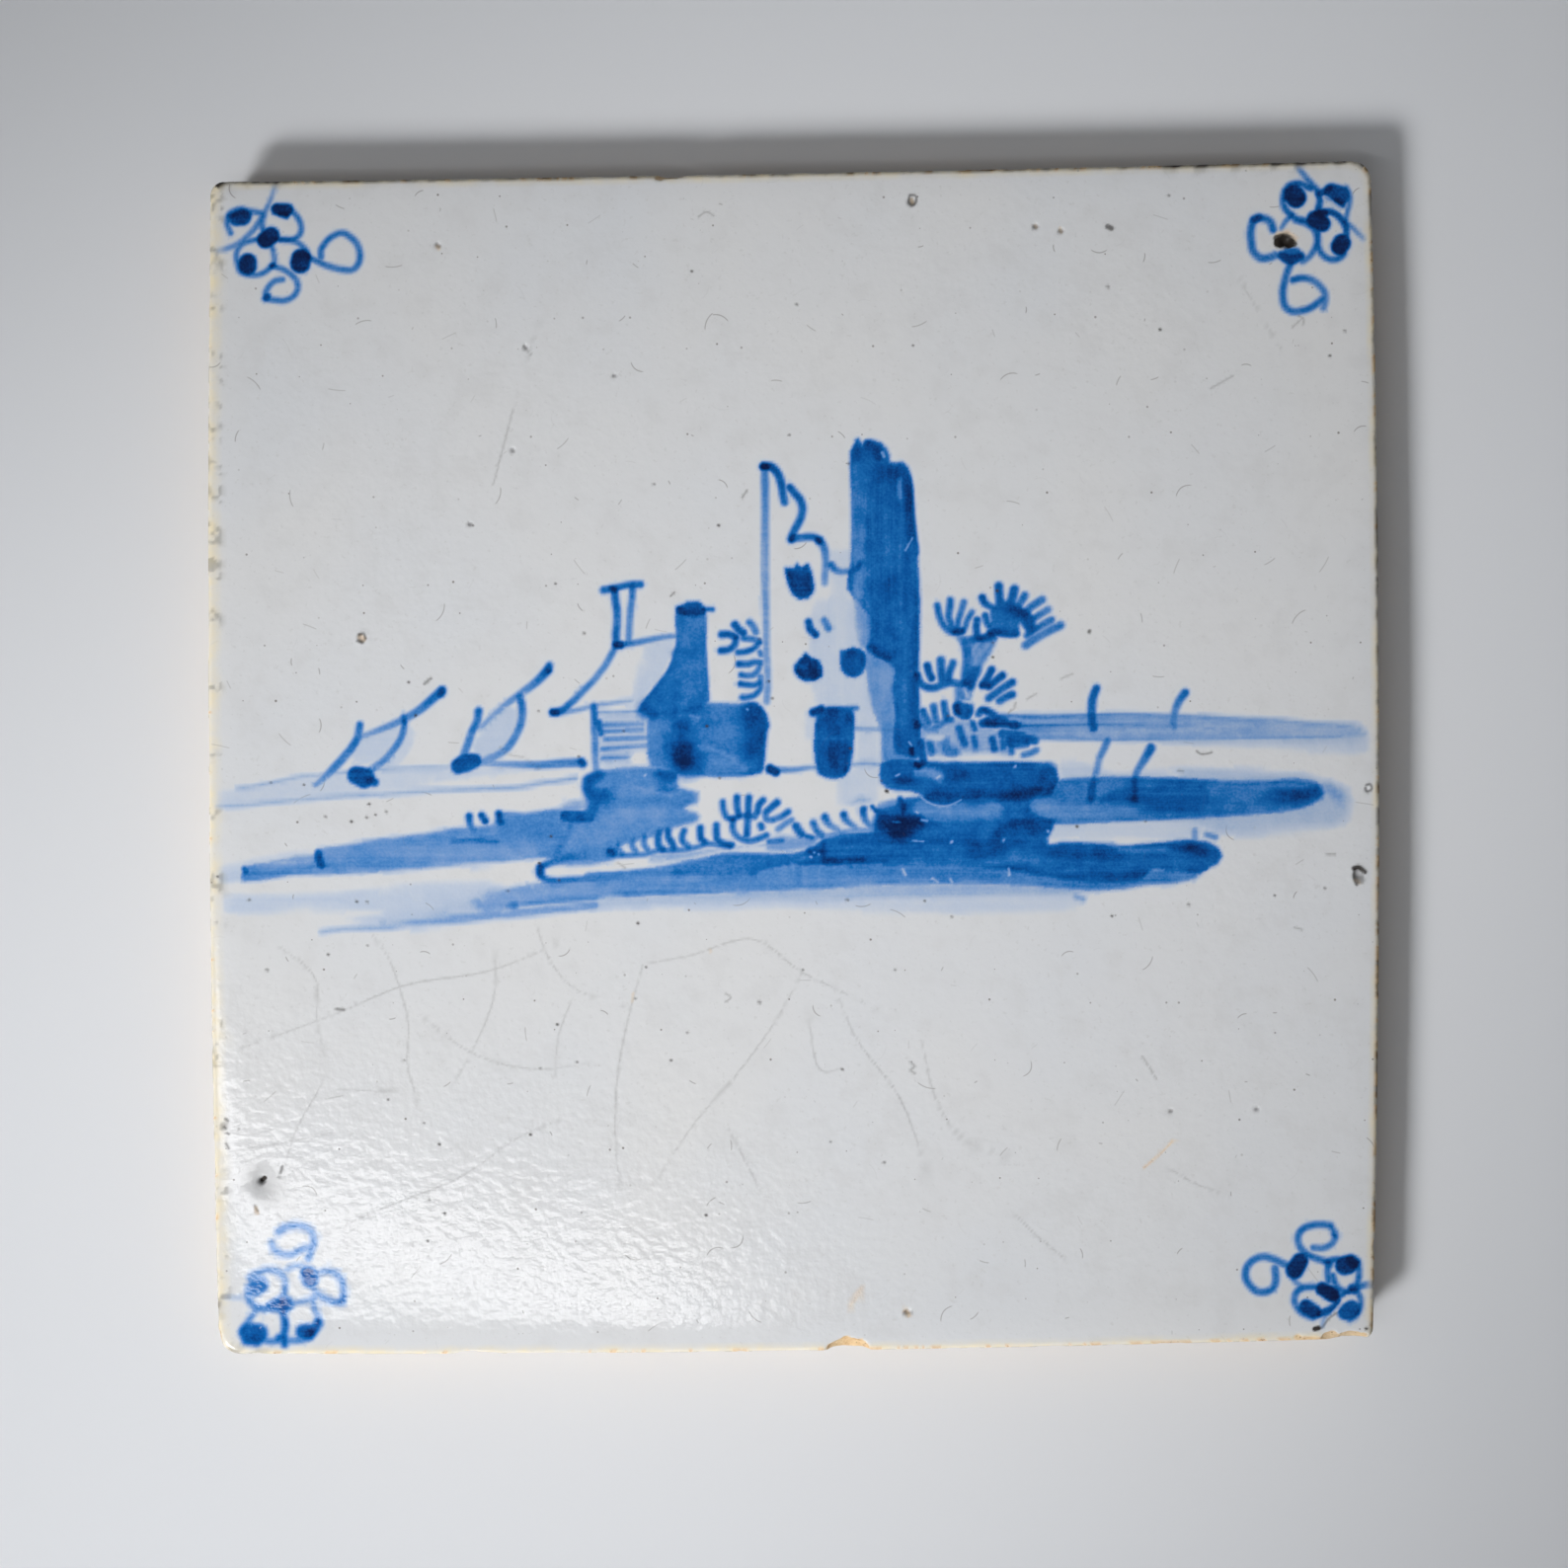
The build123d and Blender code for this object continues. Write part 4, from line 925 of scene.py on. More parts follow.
# The tree on the right: fans of short strokes round a forked trunk, and bushes at its foot.
tree = [
    (0.5, "upright", (18.1, 13.9), (19.5, 13.6), (22.4, 13.5), (22.6, 12.8), (22.2, 11.9),
     (21.6, 10.9), (21, 9.9), (20.6, 8.9), (20.2, 7.9), (19.8, 6.5), (18.2, 6.5), (18.2, 8),
     (19, 8.5), (19.1, 9.5), (19.1, 11.2), (18.9, 12.3), (18.5, 13.1)),
    (0.34, [0.2], (20.8, 13), (20.1, 12)),
    (0.36, [0.25], (21.8, 12.7), (21, 11.7), (20.4, 10.8)),
    (0.22, [0.25], (19.3, 7.7), (19.5, 6.9)),
    (0.68, [0.45], (19.3, 13), (19.5, 11.5), (19.3, 9.7), (19.2, 8.6)),
    ((0.72, 0.9), [0.55], (20.5, 9.8), (20, 8.9), (19.8, 8.2)),
    (0.65, "upright", (22.1, 16.9), (23.1, 17.2), (24, 17.3), (25, 17), (26.2, 16.5), (26.8, 15.5),
     (26.7, 14.5), (26.1, 14.3), (25.4, 14.9), (25.2, 14), (24.5, 13.6), (23, 13.6), (22.2, 13.9),
     (22.1, 15.2)),
    (0.72, 0.36, (16.15, 17.05), (16.4, 15.85), (16.9, 14.8), (17.7, 14.1), (18.5, 14)),
    (0.68, 0.4, (17.6, 17.6), (17.55, 16.8), (17.4, 15.85), (17.7, 14.9), (18, 14.3)),
    (0.62, 0.36, (19.1, 17.4), (18.8, 16.3), (18.5, 15.4), (18.4, 14.5)),
    (0.62, 0.34, (20, 16.3), (19.5, 15.4), (19.2, 14.5), (19, 14.2)),
    (0.85, 0.42, (18.2, 14.1), (18.9, 14.2)),
    ((0.85, 0.65), (0.42, 0.36), (21.15, 17.9), (21.4, 17.4), (22, 16.95), (22.6, 16.75)),
    ((0.8, 0.72), 0.46, (23, 19.2), (23.05, 18.3), (23.1, 17.1)),
    (0.75, 0.5, (24.75, 18.85), (24.6, 18.15), (24.4, 17.3)),
    (0.65, 0.44, (25.9, 18.15), (25.5, 17.5), (25.2, 17.1)),
    (0.62, 0.44, (27.85, 17.7), (27.1, 17.2), (26.5, 16.8), (26.1, 16.3)),
    (0.6, 0.4, (28.5, 16.6), (27.7, 16.1), (27, 15.6), (26.6, 15.2)),
    ((0.68, 0.6), 0.42, (28.85, 15.4), (27.7, 14.8), (26.9, 14.3), (26.2, 13.7)),
    ((0.62, 0.5, 0.6), 0.46, (29.9, 14.85), (28.5, 14.15), (27.2, 13.4), (26, 12.6)),
    ((0.8, 1, 1, 0.95, 0.9), [0.55], (23.4, 17.1), (24.6, 16.6), (25.5, 16.15), (26.3, 15.5),
     (26.55, 14.6)),
    ((0.85, 0.95, 0.85), [0.42], (22, 14), (23.1, 14.1), (24.2, 13.9), (24.9, 13.9)),
    (0.8, 0.42, (20.6, 15.4), (20.5, 14.6), (20.6, 13.85), (20.8, 13.4)),
    (0.75, 0.4, (21.5, 15.9), (21.6, 15.4), (21.9, 14.8)),
    (0.8, 0.42, (21.2, 13.4), (22.2, 13.8)),
    (0.66, 0.4, (20.1, 13.3), (21.5, 13.3), (22.5, 13.4)),
    (-0.45, 0.25, (21.3, 14.5), (21.4, 14.3)),
    (0.82, 0.42, (15.05, 10.3), (15.2, 9.6), (15.5, 8.95)),
    (0.72, 0.48, (16.55, 10.9), (16.6, 9.85), (16.7, 8.8)),
    (0.7, 0.42, (17.9, 10.6), (17.55, 9.7), (17.4, 8.8)),
    ((0.9, 0.75, 0.72, 0.7, 0.68, 0.75), 0.42, (13.9, 9.25), (14.2, 8.5), (14.8, 8), (15.7, 7.85),
     (16.6, 8.15), (17.7, 8.45), (18.6, 8.3), (19.2, 8.4)),
    ((0.85, 0.75, 0.8), 0.42, (22.2, 9.85), (21.7, 8.9), (21.3, 8.3), (21.2, 8.1)),
    ((0.82, 0.75), 0.44, (23.4, 9.2), (22.6, 8.6), (21.9, 8)),
    (0.8, 0.4, (21.2, 8.2), (21.9, 8.1)),
    ((0.74, 0.68, 0.72), 0.44, (24.5, 8.45), (23.5, 7.85), (22.6, 7.2), (21.9, 6.7)),
    ((0.8, 0.7), 0.42, (24.5, 7.15), (23.85, 6.85), (23.1, 6.4)),
    (0.3, "across", (14.3, 3.3), (16, 3.2), (18.3, 4.4), (20, 4.1), (21.5, 3.4), (23, 3.2),
     (26, 3.1), (27.6, 2), (26, 1.6), (25.2, 1), (24, 0.4), (22, 0.6), (20, 0.5), (18, 0.3),
     (16, 0.3), (14.6, 0.4)),
    (0.7, 0.42, (14.55, 5.2), (14.85, 4.6), (15.2, 4)),
    (0.68, 0.42, (15.75, 5.75), (15.85, 4.9), (16, 4.2)),
    (0.68, 0.42, (16.9, 6.1), (17, 5.4), (17.15, 4.6)),
    ((0.5, 0.6, 0.5, 0.6, 0.6, 0.65), 0.4, (14.1, 4.6), (14.4, 3.85), (15.2, 3.3), (16.2, 3.55),
     (17.1, 4.15), (17.7, 4.3)),
    (0.95, 0.45, (13.8, 3.9), (13.95, 3.6)),
    (0.8, "upright", (17.9, 5.9), (18.3, 6.6), (19.2, 6.2), (20.1, 6), (20.2, 5.2), (19.7, 4.3),
     (19, 4.3), (18.3, 4.6), (17.9, 5)),
    (1, 0.45, (18.3, 5.7), (18.5, 5.2)),
    ((0.75, 0.88, 0.85, 0.8, 0.75), 0.42, (20.8, 4.95), (21.1, 5.3), (22, 5.1), (22.8, 4.6),
     (23.8, 4.2)),
    (0.8, 0.5, (21.2, 3.9), (22.5, 3.9), (24, 3.8), (25, 3.7)),
    (1.05, [0.5], (21.8, 4.1), (22.6, 4)),
    (0.92, [0.35], (24.5, 3.7), (24.8, 3.8)),
    (0.74, (0.55, 0.7, 0.5), (23.4, 2.7), (24.5, 2.5), (26, 2.2), (27, 2)),
    (0.72, 0.55, (24.2, 1.8), (25.2, 1.6), (26, 1.7)),
    (0.72, 0.48, (18.6, 3.3), (18.8, 2.6), (19.2, 1.6)),
    (0.68, 0.4, (20.1, 3.9), (20.3, 3.3)),
    (0.65, 0.4, (20.2, 2.3), (20.4, 1.3)),
    (0.75, 0.45, (22.3, 2.1), (22.5, 1.1)),
    (0.72, 0.38, (23.4, 1.9), (23.5, 1.2)),
    (0.68, 0.4, (24.3, 1.8), (24.4, 0.7)),
    (0.62, 0.5, (15.3, 1.7), (15.5, 0.7)),
    (0.55, 0.6, (17, 1.8), (17.3, 0.8), (18, 0.7)),
    (-0.65, 0.32, (15.2, 2.3), (16.6, 2.25)),
    (0.6, 0.35, (25.8, 0.4), (26.8, 0.7), (27.2, 0.9)),
]

cobalt = np.zeros_like(x)
upright = np.zeros_like(x)
edge_of_stroke, edge_of_thin_paint = 0.55, 0.8
for motif in (
    head_left, head_right, foot_left, foot_right, far_water, far_shore, huts, near_shore,
    right_shore, knoll, cottage, tower, tree,
):
    edge = edge_of_thin_paint if motif is foot_left else edge_of_stroke
    for number, (tone, way, *points) in enumerate(motif):
        if isinstance(way, str):
            wash(cobalt, tone, way, points, seed=number)
        else:
            brush(cobalt, tone, way, points, soft=edge)
# Light specks and scratches in the blue, where the paint was rubbed before it dried
for light in (
    (0.15, (28.5, -8.1), (28.5, -8.2)), (0.13, (23.6, -9.1), (23.5, -9.2)),
    (0.16, (17.8, -9.3), (17.7, -9.4)), (0.13, (2.4, -10.5), (2.45, -10.55)),
    (0.13, (2.9, -10.7), (2.95, -10.75)), (0.13, (2, -11), (2.1, -11.05)),
    (0.12, (-5.1, 5.5), (-5, 5.4)), (0.15, (12.3, -12.4), (12.6, -13)),
    (0.13, (15.6, -13.4), (16.2, -13.8)), (0.14, (17.6, -13.5), (17.8, -13.8)),
    (0.13, (24.1, -12.3), (24.2, -13)), (0.12, (13.8, -6), (14, -6.1)),
    (0.14, (14.4, -6.9), (15, -7)), (0.08, (11.2, -7.1), (12, -7.15)),
    (0.1, (13.4, -9.2), (14.6, -9.3)), (0.12, (16.1, -2.2), (16.4, -2)),
    (0.13, (24.8, -1), (24.9, -0.8)), (0.1, (13.4, 24.6), (12.6, 23.2)),
    (0.12, (13, 1.8), (13.3, 1.4)), (0.12, (11.5, -2), (11.9, -1.8)),
    (0.1, (-16.5, -1.8), (-16.4, -2)),
    (0.1, (14.4, -4.4), (15.1, -4.9), (16.2, -5.3), (17.3, -5.3), (18.5, -4.8), (18.8, -4.65)),
    (0.28, (59.5, 62.7), (61.5, 61.2)), (0.25, (60.5, -62), (62, -60.2)),
):
    brush(cobalt, -0.6, light[0], light[1:], soft=0.25)

# Wear and damage. Raw clay shows on the sides and where flakes were struck off the arris.
# The face has the marks of two nails and pits where the glaze blew or crawled in the fire.
flakes = [  # side, distance from its first corner (or back from its last), half width, reach
    (0, 7.5, 2.6, 0.3), (0, 51.4, 2.2, 0.55), (0, -12, 3, 0.3), (0, 3.4, 1.3, 0.2),
    (0, 29, 0.9, 0.15), (0, 88, 1.1, 0.15), (0, -19.5, 1.4, 0.2), (0, 50.2, 1.2, 0.75),
    (2, 1.2, 1.3, 0.9), (2, 4.8, 1.3, 1.1), (2, 8.6, 0.9, 0.7), (2, 11.5, 1, 0.4),
    (1, 10.5, 1.1, 0.35), (1, -10, 2.2, 0.35), (1, 40, 0.8, 0.15), (1, 71, 1, 0.18),
    (2, 2.7, 2.4, 1), (2, 7.2, 1.4, 0.8), (2, 58.4, 2.9, 1.7), (2, -29, 3.6, 0.5),
    (2, 17.4, 0.8, 0.3), (2, 74.3, 0.9, 0.3), (2, 88.2, 0.8, 0.3), (3, 20, 1.6, 0.4),
    (3, -37, 1.4, 0.35), (3, 66, 0.8, 0.15), (3, 1.2, 1.8, 0.5),
]
flake_lift = 1.0
cups = [  # right, up, radius, depth, how high the glaze stands round it
    (55.1, 57.8, 0.95, 0.62, 0), (-59.3, -47.2, 0.6, 0.6, 0), (-59.3, -47.2, 1.7, 0.2, 0),
    (13.3, 62.2, 0.6, 0.3, 0.03), (63.2, -13, 0.75, 0.34, 0.05), (-48.1, 13.4, 0.6, 0.28, 0.05),
    (12.9, -61.9, 0.5, 0.25, 0.03), (-39.65, 57.3, 0.45, 0.16, 0.02),
    (-29.85, 45.9, 0.4, 0.14, 0.02), (-31.3, 34.4, 0.4, 0.12, 0.02), (27.1, 59.4, 0.45, 0.15, 0.02),
    (29.95, 58.9, 0.45, 0.15, 0.02), (-19.9, 42.7, 0.35, 0.1, 0.02), (-36, 26.1, 0.35, 0.1, 0.02),
    (64.2, -3.5, 0.4, 0.15, 0.02), (42.2, -39.4, 0.4, 0.12, 0.02), (51.8, -39.2, 0.4, 0.12, 0.02),
]


def facing(x, y, height):
    """Unit normals of the unrolled surface: the cross product of its steps across and up."""
    place = np.stack([x, y, height], axis=-1)
    normal = np.cross(np.gradient(place, axis=1), np.gradient(place, axis=0))
    return normal / np.maximum(np.linalg.norm(normal, axis=-1, keepdims=True), 1e-9)


def strike_flake(side, distance, half_wide, reach, seed):
    """Takes one flake off the arris: all that lies inside a ball is pushed straight out of its
    middle on to its surface, whose radius ripples a little. Where that went deep, the clay shows
    bare."""
    after = (side + 1) % 4
    start, end = corners[side], corners[after]
    length = math.dist(start, end)
    share = (distance if distance >= 0 else length + distance) / length
    px, py = along_side(
        start, end, corner_roundings[side], corner_roundings[after], side_bows[side],
        np.array([share]),
    )
    out = np.array((-(end[1] - start[1]), end[0] - start[0])) / length
    plan_radius = (half_wide**2 + reach**2) / (2 * reach)
    middle = np.array((px[0], py[0])) + out * (plan_radius - reach)
    fall = crown_rise * (px[0] ** 2 + py[0] ** 2) / half_face**2
    top = slab_thickness - fall - shoulder_drop + flake_lift
    near = (np.abs(x - px[0]) < half_wide + 1.5) & (np.abs(y - py[0]) < half_wide + 1.5)
    gap = np.stack([x[near] - middle[0], y[near] - middle[1], height[near] - top])
    distance_out = np.linalg.norm(gap, axis=0)
    ripple = 0.22 * (mottle(x[near], y[near], 0.9, seed) - 0.55)
    ripple += 0.1 * (mottle(x[near], y[near], 0.35, seed + 1) - 0.5)
    ripple += 0.05 * np.sin(distance_out * 9 + 3 * mottle(x[near], y[near], 1.6, seed + 2))
    deep = np.clip(math.hypot(plan_radius, flake_lift) + ripple - distance_out, 0, None)
    push = gap / distance_out * deep
    x[near] += push[0]
    y[near] += push[1]
    height[near] += push[2]
    bare[near] = np.maximum(bare[near], ease(deep, 0.05, 0.2))


# Raw clay starts under the arris. Cut with a knife, it is rough and a little hollow.
normal = facing(x, y, height)
ragged = 0.5 * (mottle(edge_x, edge_y, 2.1, 41) - 0.5)
ragged += 0.25 * (mottle(edge_x, edge_y, 0.7, 42) - 0.5)
bare = ease(past_flat + ragged, arris_run - 0.1, arris_run + 0.35)
side_rough = (
    0.3 * mottle(edge_x + edge_y, side_share * 6, 1.7, 43)
    + 0.16 * mottle(edge_x + edge_y, side_share * 6, 0.55, 44)
) * np.sin(np.pi * side_share) ** 0.5
for place, k in ((x, 0), (y, 1), (height, 2)):
    place -= normal[..., k] * side_rough * bare

outer = past_face + 0.5 * (mottle(edge_x, edge_y, 3.0, 45) - 0.5)
on_left = ease(-across - np.abs(up), -1.5, 1.5)
thin_glaze = ease(outer, -0.5 - 0.9 * on_left, 0.5)
# Glaze nibbled off the very edge, most along the foot and where mortar clung on the right
on_right = (across > np.abs(up)) * ease(-edge_y, 8, 12)
on_foot = (-up >= np.abs(across)) * ease(edge_x, 20, 60)
nibbled = 0.6 * mottle(edge_x + 3, edge_y, 1.1, 47) + 0.4 * mottle(edge_x, edge_y, 0.4, 49)
nibbled = nibbled + 0.17 * on_right + 0.2 * on_foot - 0.1 * on_left
bare = np.maximum(bare, ease(past_face, 0.1, 0.4) * ease(nibbled, 0.62, 0.7))
for number, flake in enumerate(flakes):
    strike_flake(*flake, seed=50 + 3 * number)
for right, high, radius, depth, lip in cups:
    gap = np.hypot(face_x - right, face_y - high) / radius
    gap = gap * (1 + 0.25 * (mottle(face_x, face_y, 0.6, 46) - 0.5))
    rise = lip * np.exp(-(((gap - 1.25) / 0.3) ** 2))
    height += on_face * (rise - depth * (1 - ease(gap, 0.15, 1.05)))

# Clay shows in the bottom of the larger pits and at the nail mark, and old mortar as streaks
for share, half_width, *points in (
    (0.6, 0.3, (54.2, 58.5), (55.4, 58.7), (56.1, 58)), (0.8, 0.22, (13.3, 62.4), (13.4, 62)),
    (0.5, 0.18, (27.1, 59.5), (27.2, 59.3)), (0.5, 0.2, (29.9, 59.1), (30, 58.8)),
    (0.7, 0.26, (12.6, -61.7), (13, -62.2)), (0.4, 0.3, (6.6, -60.8), (7.3, -59.9), (7.7, -59.1)),
    (0.2, 0.3, (0.6, -60.2), (1.3, -59.1)), (0.5, 0.12, (-17.8, -26.2), (-17.9, -27.2)),
    (0.5, 0.16, (-9.2, -21.4), (-9.1, -21.5)), (0.6, 0.38, (-48.2, 13.5), (-48, 13.3)),
    (0.6, 0.2, (-60, -50.2), (-59.8, -50.8)), ((0.4, 0.9, 0.5, 0.9, 0.3), (0.2, 0.35, 0.25, 0.3),
     (19.5, 65.9), (22, 66), (25, 66.05), (28, 66.15)), (0.6, 0.2, (-39.7, 57.2), (-39.5, 57)),
    (0.8, 0.1, (39.3, -45.7), (41, -44.2), (42.6, -42.6)),
    (0.5, 0.25, (62.9, -13.6), (63.3, -13.9)),
):
    brush(bare, share, half_width, points, soft=0.25)

# Dirt and iron specks, and painted shade. Soot has settled in the pits, the nail marks and the
# chipped edge.
# Each mark is how dark it is, its half width and the points that it runs through.
soot_and_shade = np.zeros_like(x)
specks = [
    (-58.3, -2.7), (-47.3, -5.1), (-47.6, -6.6), (-46.6, -6.3), (-45.4, -5.95), (-49.3, -7.05),
    (-47.5, -16), (-48.7, -16), (-60.7, -15.8), (-54.6, -2.95), (-52.2, -6.5), (-42.1, 4.8),
    (-28.4, 5.3), (-42.9, 8.5), (-23.3, 13.97), (-26.5, 19.5), (-18.9, 3.05), (-9.6, 3.6),
    (-3.7, 13.3), (-2.7, 8.6), (-2.3, 6.7), (-0.4, 36.1), (6.2, 32.9), (-28.3, -11.7),
    (-31.8, -14.8), (-27, -8.7), (-23.9, 0.2), (-26.1, -13.6), (-8.2, -2.2), (-17.3, -18.4),
    (9.9, -2.5), (6.4, 1.1), (6.1, -15.8), (14.7, -15.9), (17.7, -17.65), (31.7, -7.6),
    (39.35, -7.05), (35.6, -17.6), (59.4, -14.5), (53.8, -15.3), (44.2, -16.3), (22.8, 18.7),
    (22.3, 12.9), (22.3, 11.3), (17.3, 4.75), (-64.3, -13.2), (-15.5, 30.6), (-8.3, 26),
    (-47.5, -20.9), (-51.9, -21.9), (-58.7, -23.6), (-45.2, -38.1), (-41.2, -40.7), (-39.5, -43.1),
    (-40.6, -49.3), (-38.9, -50.8), (-40.8, -53.9), (-24.1, -33.9), (-28.2, -34.6), (-26.3, -29.7),
    (-11.8, -30.6), (-13.6, -33.7), (-3.7, -27.2), (-16.4, -23.3), (-17.6, -26.8), (-9.7, -51),
    (4.2, -42.8), (5.5, -34.7), (10.2, -45.1), (1.1, -23.6), (11.4, -23.6), (-29.3, -42),
    (-43.4, -33.7), (-11.3, 54.4), (0.4, 50.7), (13.4, 46.1), (35.2, 52.7), (41, 47.9),
    (61.7, 47.8), (60, 45), (42, 62.9),
]
for number, (right, high) in enumerate(specks):
    dark, half_width = 0.7 + 0.3 * (number % 2), 0.1 + 0.02 * (number % 3)
    brush(soot_and_shade, dark, half_width, [(right, high), (right + 0.09, high - 0.04)], soft=0.2)
# Crazing: long thin cracks over the lower half of the face, grey where dirt got in
cracks = [
    ((-61.6, -32.4), (-50.4, -28.3), (-43.7, -25.5), (-33.4, -23.6), (-25.8, -20.6)),
    ((-47.2, -19.5), (-45.4, -21.8), (-43.9, -25.6), (-42.9, -29.7), (-43, -34.4), (-42.2, -37.3),
     (-41.3, -40.8)), ((-33.1, -21.5), (-33.4, -26.8), (-35.2, -31.5), (-38.7, -37.9)),
    ((-28.7, -18.3), (-27.6, -21.5), (-25.2, -25), (-18.2, -28)),
    ((-16.7, -23), (-18.2, -28.5), (-19.4, -34.4), (-19.8, -41.4), (-19.3, -48.5)),
    ((-16.7, -23), (-11.8, -22.1), (-4.1, -20.3), (1.1, -23.9), (4.6, -25.6), (9.3, -28)),
    ((1.1, -23.9), (-1.8, -29.1), (-6.5, -35.6), (-10.6, -40.3), (-16.4, -49)),
    ((-57.5, -20.9), (-53.4, -24.4), (-53.1, -29.7), (-51.6, -35)),
    ((-56.9, -46.1), (-55.4, -41.4), (-53.1, -37.3), (-51.9, -35)),
    ((-53.4, -53.7), (-46.3, -50.5), (-37, -46.7), (-29.9, -42), (-24.1, -39.7)),
    ((-41.1, -29.1), (-35.2, -33.2), (-28.2, -34.7), (-22.9, -34.1)),
    ((-24.6, -26.8), (-26.1, -30.9), (-26.5, -35.6)), ((1.7, -29.1), (3.8, -35), (5.2, -34.7)),
    ((-7.1, -41.4), (-4.7, -46.1), (-3, -49.6)), ((-51, -37), (-42.8, -37.3)),
    ((14.5, -32), (16, -38), (19, -42.5), (24, -44.5)),
    ((4.6, -25.6), (7, -31), (12, -38), (15, -46)), ((24.3, -50.5), (27.5, -53.5), (30.7, -56.1)),
    ((41.9, -45.7), (45, -47.5), (49, -49)), ((-63, -44), (-57, -43), (-50, -41.5)),
]
crack_half_width = 0.07
for number, crack in enumerate(cracks):
    tones = (0.2, 0.3, 0.34 - 0.04 * (number % 4), 0.16)
    brush(soot_and_shade, tones, crack_half_width, crack, soft=0.2)
for tone, half_width, *points in (
    (1, 0.2, (10.45, -3.65), (10.55, -3.7)), (0.8, 0.2, (33.1, 14.1), (33.15, 14.2)),
    (0.7, 0.1, (-13.6, 18.1), (-13.2, 18.5)), (0.6, 0.16, (-41.1, 8.3), (-40.4, 8.9)),
    (0.6, 0.1, (-5.6, 29.1), (-5.1, 29.9)), (0.45, 0.1, (43.1, -1.4), (43.6, -1.45)),
    (0.75, 0.1, (45.1, 0.8), (45.5, 0.5), (46.2, 0.5), (46.8, 0.65)),
    (0.4, 0.1, (24.1, 5.1), (24.7, 5.6), (24.9, 6.2)),
    (0.95, 0.28, (62.7, -12.3), (63.2, -12.2), (63.9, -12.7)),
    (0.8, 0.2, (62.8, -12.5), (62.75, -13.4), (63, -14.1)),
    (0.7, 0.14, (64.1, -3), (64.5, -2.9), (64.7, -3.4), (64.2, -3.7), (64, -3.3)),
    (0.4, 0.08, (26.2, 6.6), (27.2, 7.2)), (0.4, 0.08, (30, 8.9), (31.2, 9.4)),
    (0.5, 0.08, (56, -18.9), (56.9, -19.1)), (0.5, 0.09, (59.7, -10.7), (60.6, -10.7)),
    (0.3, 0.08, (-32.7, 1.3), (-31.6, 0.4), (-30, 0.1), (-28.8, -0.8), (-28.3, -1)),
    (0.4, 0.08, (-19.6, -11.6), (-18.7, -12.2)),
    (0.2, 0.06, (-27.3, 52.6), (-30.4, 41.6), (-33.4, 30.6)),
    (0.35, 0.07, (-31.2, 39), (-33.4, 30.6)), (0.4, 0.08, (39.1, -33.3), (40.6, -35.7)),
    (0.4, 0.08, (46.7, 41.3), (49.2, 42.7)), (0.4, 0.08, (55.9, 48.2), (57, 49.2)),
    (0.7, 0.16, (-50.9, -28), (-50.1, -28.1)), (1.2, 0.28, (58.4, -63.8), (58.8, -63.7)),
    (0.9, 0.16, (64.1, -63.8), (64.2, -63.8)),
    (0.5, 0.08, (-7.4, -26.3), (-6.9, -26.7), (-7.5, -27.2)),
    (0.5, 0.1, (13.2, -33.9), (13.6, -34.4), (13.2, -34.8), (13.7, -35.2)),
    (0.25, 0.06, (49.8, 53.8), (52, 50), (55.2, 44.7)),
    (0.45, 0.08, (56.5, 49.4), (57.1, 49.1), (57, 48.5)), (0.8, 0.3, (35.2, 59.4), (35.6, 59.2)),
    (0.6, 0.12, (59.2, -63.7), (60, -62.6), (60.8, -62)),
    (1.3, 0.6, (54.35, 57.6), (55, 57.9), (55.5, 57.6)),
    (0.9, 0.4, (54.1, 58.1), (55.2, 58.3), (56, 57.5)),
    # The wide soft grey round the nail mark at the foot on the left is painted shade of its dimple
    (0.17, [1.7], (-59.4, -47.1), (-58.7, -48.1)), (1.1, 0.28, (-59.35, -47.2), (-59, -46.9)),
    (0.6, 0.16, (-57.2, -46.3), (-57, -45.6)), (0.5, 0.12, (-57.5, -46.8), (-57.3, -46.9)),
    (0.45, 0.14, (-60.1, -50), (-59.8, -50.6)), (0.55, 0.22, (-39.75, 57.4), (-39.5, 57.2)),
    (0.6, 0.2, (-29.95, 46), (-29.8, 45.8)), (0.35, 0.14, (-29.8, 45.8), (-29.2, 45)),
    (0.55, 0.2, (-31.3, 34.5), (-31.25, 34.3)),
    (0.5, 0.08, (-10.5, 60.5), (-9.6, 61), (-8.8, 60.6)),
    (0.75, 0.14, (13.1, 62.9), (13.7, 62.8), (13.8, 62.2), (13.4, 61.7), (13, 62.1), (13.1, 62.9)),
    (0.5, 0.3, (13.4, 62.4), (13.4, 62)), (0.5, 0.5, (63.2, -12.7), (63.4, -13.6)),
    (0.6, 0.14, (-63.4, -40.3), (-63.1, -40.5)), (0.5, 0.12, (-63.5, -41.2), (-63.3, -41.4)),
    (0.7, 0.12, (-63.2, -41.9), (-63, -42)), (0.4, 0.1, (-62, -41.3), (-61.9, -41.5)),
    (0.6, 0.13, (-63.3, -43.1), (-63, -43.6)), (0.6, 0.25, (27, 59.4), (27.2, 59.4)),
    (0.6, 0.25, (29.9, 58.9), (30, 58.9)), (0.6, 0.2, (-19.95, 42.7), (-19.85, 42.7)),
    (0.8, 0.18, (-48.4, 13.8), (-47.9, 13.9), (-47.7, 13.4)),
    (0.6, 0.16, (-48.5, 13.1), (-48, 12.9)), (0.6, 0.22, (-36.1, 26.1), (-35.9, 26.1)),
    (0.6, 0.2, (42.2, -39.4), (42.3, -39.4)), (0.6, 0.2, (51.8, -39.2), (51.9, -39.2)),
    (0.4, 0.3, (12.6, -61.9), (13.2, -61.9)),
):
    brush(soot_and_shade, tone, half_width, points, soft=0.22)
